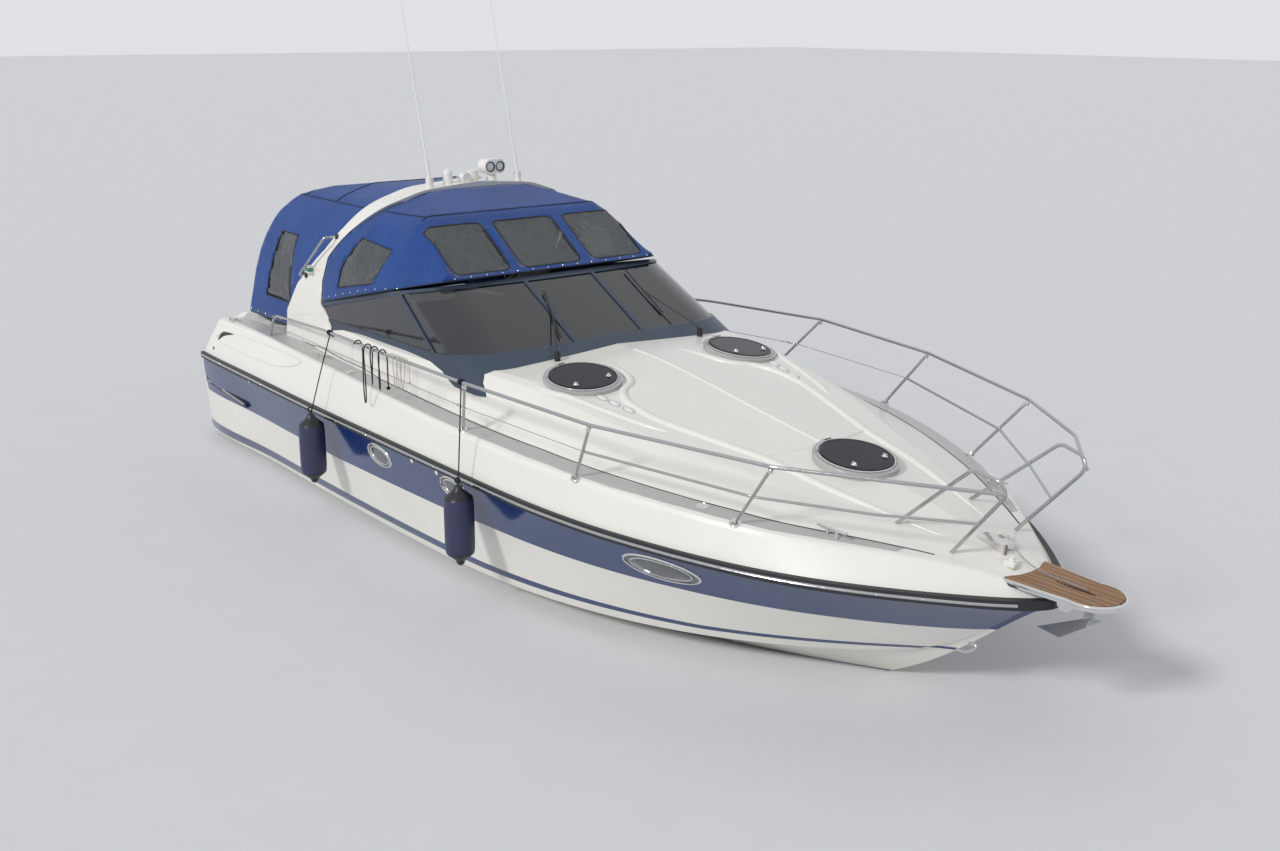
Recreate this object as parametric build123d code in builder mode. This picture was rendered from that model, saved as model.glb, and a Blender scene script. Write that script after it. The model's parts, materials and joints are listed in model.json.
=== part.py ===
"""Sports motor cruiser of the 10 m class, afloat.

Millimetres. +X is forward, +Y is to port, +Z is up. The origin is on the
centreline at the waterline, amidships of the rub rail.
"""

import os
from math import cos, hypot, radians, sin, tan

from build123d import *

os.makedirs("parts", exist_ok=True)

# Clearances
SEAT_GAP = 0.3
HINGE_GAP = 6.0

# Half of a breadth that reaches past both sides, for cuts right across
SPAN = 2000.0

# Hull shell
HULL_WALL = 45.0
KEEL_WALL = 70.0
CHINE_FLAT = 75.0
STERN_BLOCK_FRONT = -3790.0
STEM_BLOCK_BACK = 3850.0
TRANSOM_TOP_X = -4600.0
TRANSOM_TOP_Z = 950.0
TRANSOM_FOOT_X = -4865.0
TRANSOM_FOOT_Z = 50.0
DRIVE_WELL_FRONT = -4390.0
DRIVE_WELL_HALF = 860.0
DRIVE_WELL_TOP = 300.0

# Swim platform recessed between the quarter wings
PLATFORM_FRONT = -3850.0
PLATFORM_HALF = 1150.0
PLATFORM_Z = 575.0
TEAK = 10.0

# Deck moulding
DECK_WALL = 38.0
COCKPIT_HALF = 1130.0
COCKPIT_FRONT = -160.0
COCKPIT_AFT = STERN_BLOCK_FRONT
SOLE_Z = 690.0
SOLE_THICK = 40.0
LINER_WALL = 24.0

# Transom gate
GATE_CENTRE_Y = 800.0
GATE_WIDTH = 540.0
GATE_THICK = 38.0
GATE_TOP_Z = 1330.0

# Hull stations. Columns: x, keel z, chine y, chine z, sheer y, sheer z.
HULL_STATIONS = [
    (-4900, -395, 1365, 60, 1485, 930),
    (-4600, -400, 1385, 62, 1505, 930),
    (-2600, -420, 1415, 75, 1615, 970),
    (-600, -425, 1430, 92, 1670, 1005),
    (900, -420, 1370, 125, 1680, 1020),
    (1900, -375, 1175, 160, 1625, 1014),
    (2700, -255, 880, 205, 1455, 1002),
    (3400, -60, 490, 265, 1195, 985),
    (3900, 215, 130, 345, 905, 974),
    (4350, 605, 70, 655, 560, 962),
    (4650, 815, 34, 840, 250, 953),
    (4790, 925, 8, 930, 40, 946),
]

# Deck stations. Columns: x, sheer y, sheer z, deck edge y, deck edge z, joint y, joint z,
# roof edge y, roof edge z, crown z, roof edge radius.
DECK_STATIONS = [
    (-4900, 1485, 930, 1385, 1325, 1225, 1342, 1205, 1380, 1388, 30),
    (-3300, 1575, 955, 1450, 1362, 1235, 1378, 1216, 1440, 1448, 35),
    (-2300, 1625, 975, 1500, 1363, 1310, 1380, 1294, 1600, 1612, 35),
    (-600, 1670, 1005, 1600, 1360, 1425, 1380, 1390, 1688, 1745, 45),
    (900, 1680, 1020, 1642, 1350, 1465, 1372, 1200, 1690, 1745, 190),
    (1900, 1625, 1014, 1588, 1335, 1405, 1355, 1050, 1555, 1612, 190),
    (2700, 1455, 1002, 1385, 1292, 1200, 1305, 800, 1440, 1492, 170),
    (3400, 1195, 985, 1090, 1236, 905, 1246, 560, 1330, 1385, 140),
    (3900, 905, 974, 750, 1198, 610, 1206, 350, 1245, 1285, 100),
    (4350, 560, 962, 400, 1140, 310, 1148, 200, 1170, 1184, 70),
    (4650, 250, 953, 150, 1045, 110, 1050, 70, 1056, 1060, 30),
    (4790, 40, 946, 28, 970, 22, 972, 14, 974, 975, 10),
]
DECK_EDGE_RADIUS = 55.0

# Rub rail
RUB_HEIGHT = 62.0
RUB_DEPTH = 26.0

# Windscreen: its wall leans inwards between two plan outlines
SCREEN_LOW_Z = 1550.0
SCREEN_HIGH_Z = 2320.0
SCREEN_LOW_FRONT = 865.0
SCREEN_HIGH_FRONT = -544.0
SCREEN_LOW_HALF = 1388.0
SCREEN_HIGH_HALF = 1268.0
SCREEN_CORNER = 400.0
SCREEN_AFT = -2420.0
SCREEN_TAPER = 78.0
SCREEN_BULGE = 40.0
SCREEN_FRAME = 34.0
GLASS = 10.0
SCREEN_TIP = (-2400.0, 1785.0)
SCREEN_MID = (-1300.0, 2045.0)
SCREEN_PEAK = (-100.0, 2268.0)
MULLION_Y = 350.0
MULLION = 36.0
PANE_LOW_Z = 1812.0
PANE_HIGH_Z = 2195.0
# Panes from the side. Columns: x, z.
SIDE_PANE = [(-2250, 1690), (-2250, 1775), (-1890, 1864), (-1015, 2064), (-785, 2104), (-213, 1748)]
CORNER_PANE = [
    (-152, 1752),
    (-751, 2121),
    (-640, 2150),
    (-400, 2195),
    (900, 2195),
    (900, 1812),
    (500, 1812),
    (130, 1785),
]

# Radar arch from the side, aft edge up and fore edge down. Columns: x, z.
ARCH_SIDE = [
    (-3040, 1300),
    (-2975, 1640),
    (-2720, 1930),
    (-2230, 2300),
    (-2020, 2520),
    (-1890, 2740),
    (-1850, 2980),
    (-1520, 2980),
    (-1600, 2760),
    (-1860, 2520),
    (-2040, 2280),
    (-2210, 2020),
    (-2260, 1800),
    (-2030, 1640),
    (-2030, 1300),
]
ARCH_WALL = 85.0
ARCH_PROUD = 26.0

# Hoop of the arch and the canopy, seen from ahead. Columns: y, z.
HOOP = [(1264, 1300), (1260, 1900), (1228, 2200), (1130, 2480), (920, 2700), (540, 2822)]
HOOP_CROWN_Z = 2868.0
FRONT_HOOP = [(1345, 1650), (1325, 2100), (1265, 2320), (1140, 2510), (920, 2700), (540, 2822)]
BOW_HOOP = [(1345, 1650), (1325, 2100), (1205, 2280), (1086, 2460), (953, 2660), (540, 2822)]
NOSE_HOOP = [(1345, 1650), (1300, 2100), (1120, 2240), (1010, 2350), (915, 2500), (540, 2822)]
FABRIC = 12.0

# Canopies from the side. Columns: x, z.
FRONT_ROOF = [(-1700, 2875), (-1050, 2712), (-975, 2680), (-368, 2262)]
AFT_ROOF = [(-1700, 2868), (-2400, 2835), (-3000, 2765), (-3290, 2670), (-3430, 2520), (-3905, 1490)]

# Engines and drives
ENGINE_Y = 480.0
PROP_RADIUS = 190.0
PROP_X = -4845.0
PROP_Z = -620.0
DRIVE_STEER_X = -4470.0

# Deck hatches
HATCH_HOLE = 222.0
HATCH_LID = 258.0
HATCH_FLANGE = 300.0
HATCH_RISE = 20.0
HATCH_LID_THICK = 14.0
HATCH_PIVOT = 290.0
HATCH_BARREL = 8.0
# Columns: name, x, y, deck z, slope to the bow and outboard in degrees.
HATCHES = [
    ("port", 1087, 800, 1700, 7.6, 4.0),
    ("starboard", 1087, -800, 1700, 7.6, -4.0),
    ("fore", 3140, 0, 1436, 9.0, 0.0),
]

# Rails
TUBE = 12.5
WIRE = 3.0
RAIL_BEND = 300.0


def part_done(builder, name):
    """Label a finished piece and write it."""
    builder.part.label = name
    export_step(builder.part, f"parts/{name}.step")


def fair(table, x):
    """Row of a station table at x, each column on a monotone cubic through the stations."""
    place = next((i for i in range(len(table) - 1) if x <= table[i + 1][0]), len(table) - 2)
    low, high = table[place], table[place + 1]
    span = high[0] - low[0]
    t = (x - low[0]) / span
    row = [x]
    for column in range(1, len(low)):
        rise = [(b[column] - a[column]) / (b[0] - a[0]) for a, b in zip(table, table[1:])]
        slopes = []
        for here in (place, place + 1):
            if here in (0, len(table) - 1):
                slopes.append(rise[min(here, len(rise) - 1)])
            elif rise[here - 1] * rise[here] <= 0:
                slopes.append(0.0)
            else:
                slopes.append(2 * rise[here - 1] * rise[here] / (rise[here - 1] + rise[here]))
        value = (2 * t**3 - 3 * t**2 + 1) * low[column] + (3 * t**2 - 2 * t**3) * high[column]
        value += span * ((t**3 - 2 * t**2 + t) * slopes[0] + (t**3 - t**2) * slopes[1])
        row.append(value)
    return row


def stations(first, last, count):
    """Places along the hull, closer together towards the bow."""
    return [first + (last - first) * (1 - (1 - i / (count - 1)) ** 1.5) for i in range(count)]


def hatch_plane(x, y, z, slope, roll):
    """Plane of a deck hatch, its own x towards the bow."""
    ahead = Vector(cos(radians(slope)), 0, -sin(radians(slope)))
    up = Vector(sin(radians(slope)), sin(radians(roll)), cos(radians(slope)) * cos(radians(roll)))
    return Plane((x, y, z), x_dir=ahead, z_dir=up)


def corner_radii(points, wanted):
    """Radii for the corners of a polyline, each limited by its two runs."""
    radii = []
    for before, at, after, radius in zip(points, points[1:], points[2:], wanted):
        run_in = Vector(*at) - Vector(*before)
        run_out = Vector(*after) - Vector(*at)
        turn = radians(run_in.get_angle(run_out))
        limit = 0.45 * min(run_in.length, run_out.length) / tan(turn / 2)
        radii.append(min(radius, limit))
    return radii


def soft_corners(points, wanted):
    """Polyline whose corners with a radius are cut on the ends and middle of their arcs."""
    out = [points[0]]
    radii = corner_radii([(y, z, 0) for y, z in points], wanted)
    for before, at, after, radius in zip(points, points[1:], points[2:], radii):
        if not radius:
            out.append(at)
            continue
        back = (Vector(*before) - Vector(*at)).normalized()
        on = (Vector(*after) - Vector(*at)).normalized()
        half = radians(back.get_angle(on)) / 2
        reach = radius / tan(half)
        middle = Vector(*at) + (back + on).normalized() * (radius / sin(half) - radius)
        for place in (Vector(*at) + back * reach, middle, Vector(*at) + on * reach):
            out.append((place.X, place.Y))
    out.append(points[-1])
    return out


def hull_section(row, inset=0.0, lift=0.0, over=0.0):
    """V section of the hull at one station, inset for the inside."""
    x, keel_z, chine_y, chine_z, sheer_y, sheer_z = row
    flat = min(CHINE_FLAT, 0.25 * chine_y)
    half = [
        (chine_y - flat - inset, chine_z + lift * 0.8),
        (chine_y - inset, chine_z + lift * 0.8),
        (sheer_y - inset, sheer_z + over),
    ]
    starboard = [(-y, z) for y, z in reversed(half)]
    with BuildSketch(Plane.YZ.offset(x)) as section:
        with BuildLine():
            Polyline((0, keel_z + lift), *half, *starboard, close=True)
        make_face()
    return section.sketch


def deck_section(row, inset=0.0, drop=0.0):
    """Section of the deck moulding at one station, from sheer to sheer over the crown."""
    x, sheer_y, sheer_z, edge_y, edge_z, joint_y, joint_z, roof_y, roof_z, crown_z, roof_radius = row
    half = [
        (sheer_y - inset, sheer_z - drop),
        (edge_y - inset, edge_z - inset),
        (joint_y - inset, joint_z - inset),
        (roof_y - inset * 0.7, roof_z - inset),
    ]
    points = [(-y, z) for y, z in half] + [(0, crown_z - inset)] + list(reversed(half))
    side = [DECK_EDGE_RADIUS, 0, roof_radius]
    with BuildSketch(Plane.YZ.offset(x)) as section:
        with BuildLine():
            Polyline(*soft_corners(points, side + [0] + side[::-1]), close=True)
        make_face()
    return section.sketch


HULL_AFT = HULL_STATIONS[0][0]
STEM = HULL_STATIONS[-1][0]
HULL_ROWS = [fair(HULL_STATIONS, x) for x in stations(HULL_AFT, STEM, 12)]
HULL_SPACE_ROWS = [fair(HULL_STATIONS, x) for x in stations(HULL_AFT, 3960, 9)]
DECK_ROWS = [fair(DECK_STATIONS, x) for x in stations(HULL_AFT, STEM, 12)]
DECK_SPACE_ROWS = [fair(DECK_STATIONS, x) for x in stations(HULL_AFT, 4200, 12)]

# Hull: a V-bottomed shell, closed at the stern block and the stem
with BuildPart() as hull_space:
    loft(sections=[hull_section(row, HULL_WALL, KEEL_WALL, 60) for row in HULL_SPACE_ROWS], ruled=True)
    with BuildSketch(Plane.XZ.offset(-SPAN)) as space_side:
        with Locations(((STERN_BLOCK_FRONT + STEM_BLOCK_BACK) / 2, 500)):
            Rectangle(STEM_BLOCK_BACK - STERN_BLOCK_FRONT, 3000)
    extrude(amount=2 * SPAN, mode=Mode.INTERSECT)

with BuildPart() as hull:
    loft(sections=[hull_section(row) for row in HULL_ROWS])
    with BuildSketch(Plane.XZ) as transom_cut:
        with BuildLine():
            Polyline(
                (-5200, 1200),
                (TRANSOM_TOP_X, 1200),
                (TRANSOM_TOP_X, TRANSOM_TOP_Z),
                (TRANSOM_FOOT_X, TRANSOM_FOOT_Z),
                (TRANSOM_FOOT_X, -600),
                (-5200, -600),
                close=True,
            )
        make_face()
    extrude(amount=SPAN, both=True, mode=Mode.SUBTRACT)
    add(hull_space.part, mode=Mode.SUBTRACT)
    # Platform well between the quarters
    with BuildSketch(Plane.XY.offset(PLATFORM_Z)) as well_plan:
        with Locations(((PLATFORM_FRONT - 5200) / 2, 0)):
            Rectangle(PLATFORM_FRONT + 5200, 2 * PLATFORM_HALF)
    extrude(amount=600, mode=Mode.SUBTRACT)
    # Gateway through the stern block
    with BuildSketch(Plane.XY.offset(SOLE_Z)) as gate_plan:
        with Locations(((PLATFORM_FRONT + STERN_BLOCK_FRONT) / 2, GATE_CENTRE_Y)):
            Rectangle(200, GATE_WIDTH + 2 * HINGE_GAP)
    extrude(amount=600, mode=Mode.SUBTRACT)
    # Drive well under the platform
    with BuildSketch(Plane.XZ) as drive_well:
        with BuildLine():
            Polyline(
                (-5200, DRIVE_WELL_TOP - 60),
                (DRIVE_WELL_FRONT, DRIVE_WELL_TOP),
                (DRIVE_WELL_FRONT, -700),
                (-5200, -700),
                close=True,
            )
        make_face()
    extrude(amount=DRIVE_WELL_HALF, both=True, mode=Mode.SUBTRACT)
part_done(hull, "hull")

# Deck moulding: flanks, side decks, coachroof and cockpit coaming in one shell
with BuildPart() as deck_space:
    loft(sections=[deck_section(row, DECK_WALL, 60) for row in DECK_SPACE_ROWS], ruled=True)
    with BuildSketch(Plane.XZ.offset(-SPAN)) as deck_space_side:
        with Locations(((STERN_BLOCK_FRONT + STEM_BLOCK_BACK) / 2, 1200)):
            Rectangle(STEM_BLOCK_BACK - STERN_BLOCK_FRONT, 2000)
    extrude(amount=2 * SPAN, mode=Mode.INTERSECT)

with BuildPart() as deck:
    loft(sections=[deck_section(row, 0, -SEAT_GAP) for row in DECK_ROWS])
    add(deck_space.part, mode=Mode.SUBTRACT)
    # Raked aft edge of the quarter wings
    with BuildSketch(Plane.XZ) as wing_cut:
        with BuildLine():
            Polyline((-4350, 1290), (-4605, 925), (-4900, 925), (-4900, 1600), (-4130, 1600), (-4130, 1400))
            ThreePointArc((-4130, 1400), (-4262, 1378), (-4350, 1290))
        make_face()
    extrude(amount=SPAN, both=True, mode=Mode.SUBTRACT)
    # Platform well
    with BuildSketch(Plane.XY.offset(PLATFORM_Z)) as deck_well:
        with Locations(((PLATFORM_FRONT - 5200) / 2, 0)):
            Rectangle(PLATFORM_FRONT + 5200, 2 * PLATFORM_HALF)
    extrude(amount=1200, mode=Mode.SUBTRACT)
    # Cockpit opening
    with BuildSketch(Plane.XY.offset(800)) as cockpit_plan:
        with Locations(((COCKPIT_AFT + COCKPIT_FRONT) / 2, 0)):
            RectangleRounded(COCKPIT_FRONT - COCKPIT_AFT, 2 * COCKPIT_HALF, 90)
    extrude(amount=1300, mode=Mode.SUBTRACT)
    # Gateway
    with BuildSketch(Plane.XY.offset(800)) as deck_gate:
        with Locations(((PLATFORM_FRONT + STERN_BLOCK_FRONT) / 2, GATE_CENTRE_Y)):
            Rectangle(200, GATE_WIDTH + 2 * HINGE_GAP)
    extrude(amount=900, mode=Mode.SUBTRACT)
    # Hatch holes
    for hatch_name, *place in HATCHES:
        with BuildSketch(hatch_plane(*place).offset(80)):
            Circle(HATCH_HOLE)
        extrude(amount=-260, mode=Mode.SUBTRACT)
    add(hull.part, mode=Mode.SUBTRACT)
part_done(deck, "deck")


# Outer form of the whole moulding, used to seat what stands on it
with BuildPart() as deck_form:
    loft(sections=[deck_section(row, -SEAT_GAP, 0) for row in DECK_ROWS])

with BuildPart() as hull_form:
    loft(sections=[hull_section(row, -SEAT_GAP, 0, 1) for row in HULL_ROWS])


def side_y(x, z):
    """Half breadth of the hull's topside at a place and height."""
    row = fair(HULL_STATIONS, x)
    share = (z - row[3]) / (row[5] - row[3])
    return row[2] + share * (row[4] - row[2])


def deck_z(x, y):
    """Height of the coachroof at a place."""
    row = fair(DECK_STATIONS, x)
    return row[8] + (row[9] - row[8]) * (1 - abs(y) / row[7])


def slab_section(x, half, middle_z, height):
    """Rectangle across the boat at one station."""
    with BuildSketch(Plane.YZ.offset(x)) as section:
        with Locations((0, middle_z)):
            Rectangle(2 * half, height)
    return section.sketch


def side_prism(points, low_y, high_y):
    """Solid with a side profile, between two places across the boat."""
    with BuildPart() as prism:
        with BuildSketch(Plane.XZ.offset(-high_y)):
            with BuildLine():
                Polyline(*points, close=True)
            make_face()
        extrude(amount=high_y - low_y)
    return prism.part


# Rub rail round the sheer, and the bumper strips on the quarters
with BuildPart() as rub_rail:
    rail_sections = []
    for row in HULL_ROWS:
        ahead = fair(HULL_STATIONS, min(row[0] + 20, STEM))
        slope = (ahead[4] - row[4]) / 20 if ahead[0] > row[0] else -2.2
        reach = RUB_DEPTH * hypot(1, slope)
        rail_sections.append(slab_section(row[0], row[4] + reach, row[5], RUB_HEIGHT))
    rail_sections.append(slab_section(STEM + RUB_DEPTH, 40, HULL_ROWS[-1][5], RUB_HEIGHT))
    loft(sections=rail_sections)
    inside = [slab_section(row[0], max(row[4] - 30, 4), row[5], 2 * RUB_HEIGHT) for row in HULL_ROWS]
    loft(sections=inside, mode=Mode.SUBTRACT)
    add(deck_form.part, mode=Mode.SUBTRACT)
    add(hull_form.part, mode=Mode.SUBTRACT)
    with BuildSketch(Plane.XY) as rail_end:
        with Locations((TRANSOM_TOP_X - 500, 0)):
            Rectangle(1000, 2 * SPAN)
    extrude(amount=SPAN, mode=Mode.SUBTRACT)
part_done(rub_rail, "rub_rail")

# Bumper strip ends. Columns: x, z.
BUMPER_ENDS = [(-4640, 648), (-3560, 598)]
BUMPER_DEPTH = 24.0
BUMPER_HEIGHT = 44.0
with BuildPart() as quarter_bumpers:
    loft(sections=[slab_section(x, side_y(x, z) + BUMPER_DEPTH, z, BUMPER_HEIGHT) for x, z in BUMPER_ENDS])
    add(hull_form.part, mode=Mode.SUBTRACT)
part_done(quarter_bumpers, "quarter_bumpers")

# Teak on the swim platform
with BuildPart() as platform_teak:
    with BuildSketch(Plane.XY.offset(PLATFORM_Z + SEAT_GAP)):
        with Locations(((PLATFORM_FRONT - 4700) / 2, 0)):
            RectangleRounded(PLATFORM_FRONT + 4700 - 24, 2 * PLATFORM_HALF - 30, 40)
    extrude(amount=TEAK)
part_done(platform_teak, "platform_teak")

# Cockpit liner: sole, side walls and the bulkhead with the companionway
ENGINE_HATCH_AFT = -3240.0
ENGINE_HATCH_FRONT = -2160.0
ENGINE_HATCH_HALF = 560.0
DOOR_Y = 190.0
DOOR_WIDTH = 560.0
DOOR_TOP = 1590.0
LINER_TOP = [(-3790, 1405), (-3300, 1428), (-2800, 1500), (-2300, 1592), (-600, 1690), (-160, 1700)]
with BuildPart() as cockpit_liner:
    with BuildSketch(Plane.XY.offset(SOLE_Z - SOLE_THICK)):
        with Locations(((COCKPIT_AFT + COCKPIT_FRONT) / 2, 0)):
            RectangleRounded(COCKPIT_FRONT - COCKPIT_AFT - 1, 2 * COCKPIT_HALF - 1, 90)
    extrude(amount=1200)
    with BuildSketch(Plane.XY.offset(SOLE_Z)):
        with Locations(((COCKPIT_AFT + COCKPIT_FRONT) / 2 - 100, 0)):
            Rectangle(COCKPIT_FRONT - COCKPIT_AFT + 200 - 2 * LINER_WALL, 2 * COCKPIT_HALF - 1 - 2 * LINER_WALL)
    extrude(amount=1300, mode=Mode.SUBTRACT)
    with BuildSketch(Plane.XZ):
        with BuildLine():
            Polyline((-3900, 2000), (-3900, 1400), *LINER_TOP, (0, 1700), (0, 2000), close=True)
        make_face()
    extrude(amount=SPAN, both=True, mode=Mode.SUBTRACT)
    with BuildSketch(Plane.XY.offset(SOLE_Z - 100)):
        with Locations(((ENGINE_HATCH_AFT + ENGINE_HATCH_FRONT) / 2, 0)):
            Rectangle(ENGINE_HATCH_FRONT - ENGINE_HATCH_AFT, 2 * ENGINE_HATCH_HALF)
    extrude(amount=200, mode=Mode.SUBTRACT)
    with BuildSketch(Plane.XY.offset(SOLE_Z + 30)):
        with Locations((COCKPIT_FRONT, DOOR_Y)):
            Rectangle(200, DOOR_WIDTH)
    extrude(amount=DOOR_TOP - SOLE_Z - 30, mode=Mode.SUBTRACT)
part_done(cockpit_liner, "cockpit_liner")

# Hinges: each has a barrel on the leaf that moves, between two knuckles on the boat
HATCH_PIN_X = ENGINE_HATCH_FRONT - 3.0
HATCH_PIN_Z = SOLE_Z + 5.6
HATCH_HINGES_Y = (-300.0, 300.0)
GATE_PIN_X = PLATFORM_FRONT - 8.0
GATE_PIN_Y = GATE_CENTRE_Y + GATE_WIDTH / 2 + 3.0
GATE_HINGES_Z = (1000.0, 1220.0)
BARREL_LENGTH = 50.0
KNUCKLE_LENGTH = 24.0

with BuildPart() as engine_hatch:
    with BuildSketch(Plane.XY.offset(SOLE_Z - SOLE_THICK + 4)):
        with Locations(((ENGINE_HATCH_AFT + ENGINE_HATCH_FRONT) / 2, 0)):
            Rectangle(ENGINE_HATCH_FRONT - ENGINE_HATCH_AFT - 12, 2 * ENGINE_HATCH_HALF - 12)
    extrude(amount=SOLE_THICK - 4)
    for hinge_y in HATCH_HINGES_Y:
        with Locations((HATCH_PIN_X, hinge_y, HATCH_PIN_Z)):
            Cylinder(5, BARREL_LENGTH, rotation=(90, 0, 0))
        with Locations((HATCH_PIN_X - 20, hinge_y, SOLE_Z + 1)):
            Box(40, BARREL_LENGTH, 4)
part_done(engine_hatch, "engine_hatch")

# Sliding companionway door ahead of the bulkhead, in a track at its foot and a guide at its head
DOOR_THICK = 16.0
DOOR_X = COCKPIT_FRONT + 14
DOOR_FOOT = SOLE_Z + 12
DOOR_HEIGHT = DOOR_TOP - SOLE_Z + 8
DOOR_TRAVEL = 540.0
with BuildPart() as companion_door:
    with BuildSketch(Plane.XY.offset(DOOR_FOOT)):
        with Locations((DOOR_X, DOOR_Y)):
            Rectangle(DOOR_THICK, DOOR_WIDTH + 36)
    extrude(amount=DOOR_HEIGHT)
part_done(companion_door, "companion_door")

TRACK_LOW_Y = DOOR_Y - DOOR_WIDTH / 2 - 30
TRACK_HIGH_Y = DOOR_Y + DOOR_WIDTH / 2 + 18 + DOOR_TRAVEL + 5
with BuildPart() as door_track:
    for edge_z, step in ((DOOR_FOOT, -1), (DOOR_FOOT + DOOR_HEIGHT, 1)):
        near, far = edge_z + step * SEAT_GAP, edge_z + step * 12
        lip = edge_z - step * 12
        wall, back = COCKPIT_FRONT + SEAT_GAP, DOOR_X + DOOR_THICK / 2
        front = back + 5
        channel = [(wall, far), (wall, near), (front, near), (front, lip), (front + 5, lip), (front + 5, far)]
        add(side_prism(channel, TRACK_LOW_Y, TRACK_HIGH_Y))
part_done(door_track, "door_track")

# Transom gate in the port side of the transom
with BuildPart() as transom_gate:
    with BuildSketch(Plane.XY.offset(SOLE_Z + HINGE_GAP)):
        with Locations(((PLATFORM_FRONT + STERN_BLOCK_FRONT) / 2, GATE_CENTRE_Y)):
            RectangleRounded(GATE_THICK, GATE_WIDTH, 12)
    extrude(amount=GATE_TOP_Z - SOLE_Z)
    for hinge_z in GATE_HINGES_Z:
        with Locations((GATE_PIN_X, GATE_PIN_Y, hinge_z)):
            Cylinder(7, BARREL_LENGTH)
        with Locations((GATE_PIN_X + 10, GATE_PIN_Y - 15, hinge_z)):
            Box(22, 30, BARREL_LENGTH)
part_done(transom_gate, "transom_gate")

with BuildPart() as hinges:
    reach = (BARREL_LENGTH + KNUCKLE_LENGTH) / 2 + SEAT_GAP
    for hinge_y in HATCH_HINGES_Y:
        for shift in (-reach, reach):
            with Locations((HATCH_PIN_X, hinge_y + shift, HATCH_PIN_Z)):
                Cylinder(5, KNUCKLE_LENGTH, rotation=(90, 0, 0))
            with Locations((HATCH_PIN_X + 20, hinge_y + shift, SOLE_Z + SEAT_GAP + 1.5)):
                Box(40, KNUCKLE_LENGTH, 3)
    for hinge_z in GATE_HINGES_Z:
        for shift in (-reach, reach):
            with Locations((GATE_PIN_X, GATE_PIN_Y, hinge_z + shift)):
                Cylinder(6, KNUCKLE_LENGTH)
            with Locations((PLATFORM_FRONT - 2.3, GATE_PIN_Y + 18, hinge_z + shift)):
                Box(4, 36, KNUCKLE_LENGTH)
    add(deck.part, mode=Mode.SUBTRACT)
part_done(hinges, "hinges")

# Engines on their beds
with BuildPart() as engines:
    for side in (-1, 1):
        with BuildSketch(Plane.XY.offset(-40)):
            with Locations((-3130, side * ENGINE_Y)):
                RectangleRounded(960, 620, 60)
        extrude(amount=640)
        with BuildSketch(Plane.YZ.offset(-3700)):
            with Locations((side * ENGINE_Y, 90)):
                Circle(110)
        extrude(amount=110)
part_done(engines, "engines")

with BuildPart() as engine_beds:
    for side in (-1, 1):
        for shift in (-240, 240):
            with BuildSketch(Plane.XY.offset(-420)):
                with Locations((-3130, side * (ENGINE_Y + shift))):
                    Rectangle(1320, 70)
            extrude(amount=380 - SEAT_GAP)
    add(hull_space.part, mode=Mode.INTERSECT)
part_done(engine_beds, "engine_beds")

# Propeller blade from root to tip. Columns: height, half chord, half thickness, twist.
BLADE = [(44, 50, 8, 35), (100, 58, 6, 46), (150, 50, 5, 55), (PROP_RADIUS - 4, 20, 3, 62)]
BLADES = 4

# Stern drives: shields on the transom, legs that steer, propellers
LEG = [
    (-4512, 120),
    (-4640, 150),
    (-4700, 60),
    (-4660, -380),
    (-4880, -410),
    (-4880, -428),
    (-4700, -440),
    (-4690, -520),
    (-4780, -560),
    (-4780, -680),
    (-4620, -700),
    (-4560, -860),
    (-4520, -860),
    (-4470, -700),
    (-4400, -620),
    (-4460, -540),
    (-4500, -440),
    (-4540, -428),
    (-4540, -400),
    (-4512, -380),
]
with BuildPart() as transom_shields:
    for side in (-1, 1):
        with BuildSketch(Plane.YZ.offset(DRIVE_WELL_FRONT - 30)):
            with Locations((side * ENGINE_Y, 30)):
                RectangleRounded(330, 380, 80)
        extrude(amount=30 - SEAT_GAP)
        for z in (150 + SEAT_GAP, -70 - SEAT_GAP):
            with BuildSketch(Plane.XY.offset(z if z > 0 else z - 24)):
                with Locations(((DRIVE_STEER_X + DRIVE_WELL_FRONT - 30) / 2 - 4, side * ENGINE_Y)):
                    Rectangle(66, 90)
            extrude(amount=24)
part_done(transom_shields, "transom_shields")

for side, name in ((1, "port"), (-1, "starboard")):
    with BuildPart() as drive:
        add(side_prism(LEG, side * ENGINE_Y - 28, side * ENGINE_Y + 28))
        # Gear housing, steering pin, torpedo and ventilation plate
        with BuildSketch(Plane.XY.offset(-70)):
            with Locations((DRIVE_STEER_X - 90, side * ENGINE_Y)):
                RectangleRounded(170, 150, 40)
            with Locations((DRIVE_STEER_X, side * ENGINE_Y)):
                Circle(40)
        extrude(amount=220)
        with BuildSketch(Plane.YZ.offset(-4780)):
            with Locations((side * ENGINE_Y, PROP_Z)):
                Circle(58)
        extrude(amount=300)
        with BuildSketch(Plane.XY.offset(-430)):
            with Locations((-4710, side * ENGINE_Y)):
                RectangleRounded(380, 230, 60)
        extrude(amount=20)
    part_done(drive, f"drive_{name}")

    with BuildPart() as propeller:
        with BuildSketch(Plane.YZ.offset(-4900)):
            with Locations((side * ENGINE_Y, PROP_Z)):
                Circle(52)
        extrude(amount=120 - SEAT_GAP)
        for index in range(BLADES):
            turn = 360 / BLADES * index
            outwards = (0, cos(radians(turn)), sin(radians(turn)))
            hub_plane = Plane((PROP_X, side * ENGINE_Y, PROP_Z), x_dir=(1, 0, 0), z_dir=outwards)
            sections = []
            for height, chord, thick, twist in BLADE:
                with BuildSketch(hub_plane.offset(height)) as section:
                    along = (cos(radians(twist)), sin(radians(twist)), 0)
                    with BuildLine(Plane((0, 0, 0), x_dir=along, z_dir=(0, 0, 1))):
                        Polyline((-chord, 0), (0, -thick), (chord, 0), (0, thick), close=True)
                    make_face()
                sections.append(section.sketch)
            loft(sections=sections, ruled=True)
    part_done(propeller, f"propeller_{name}")

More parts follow.
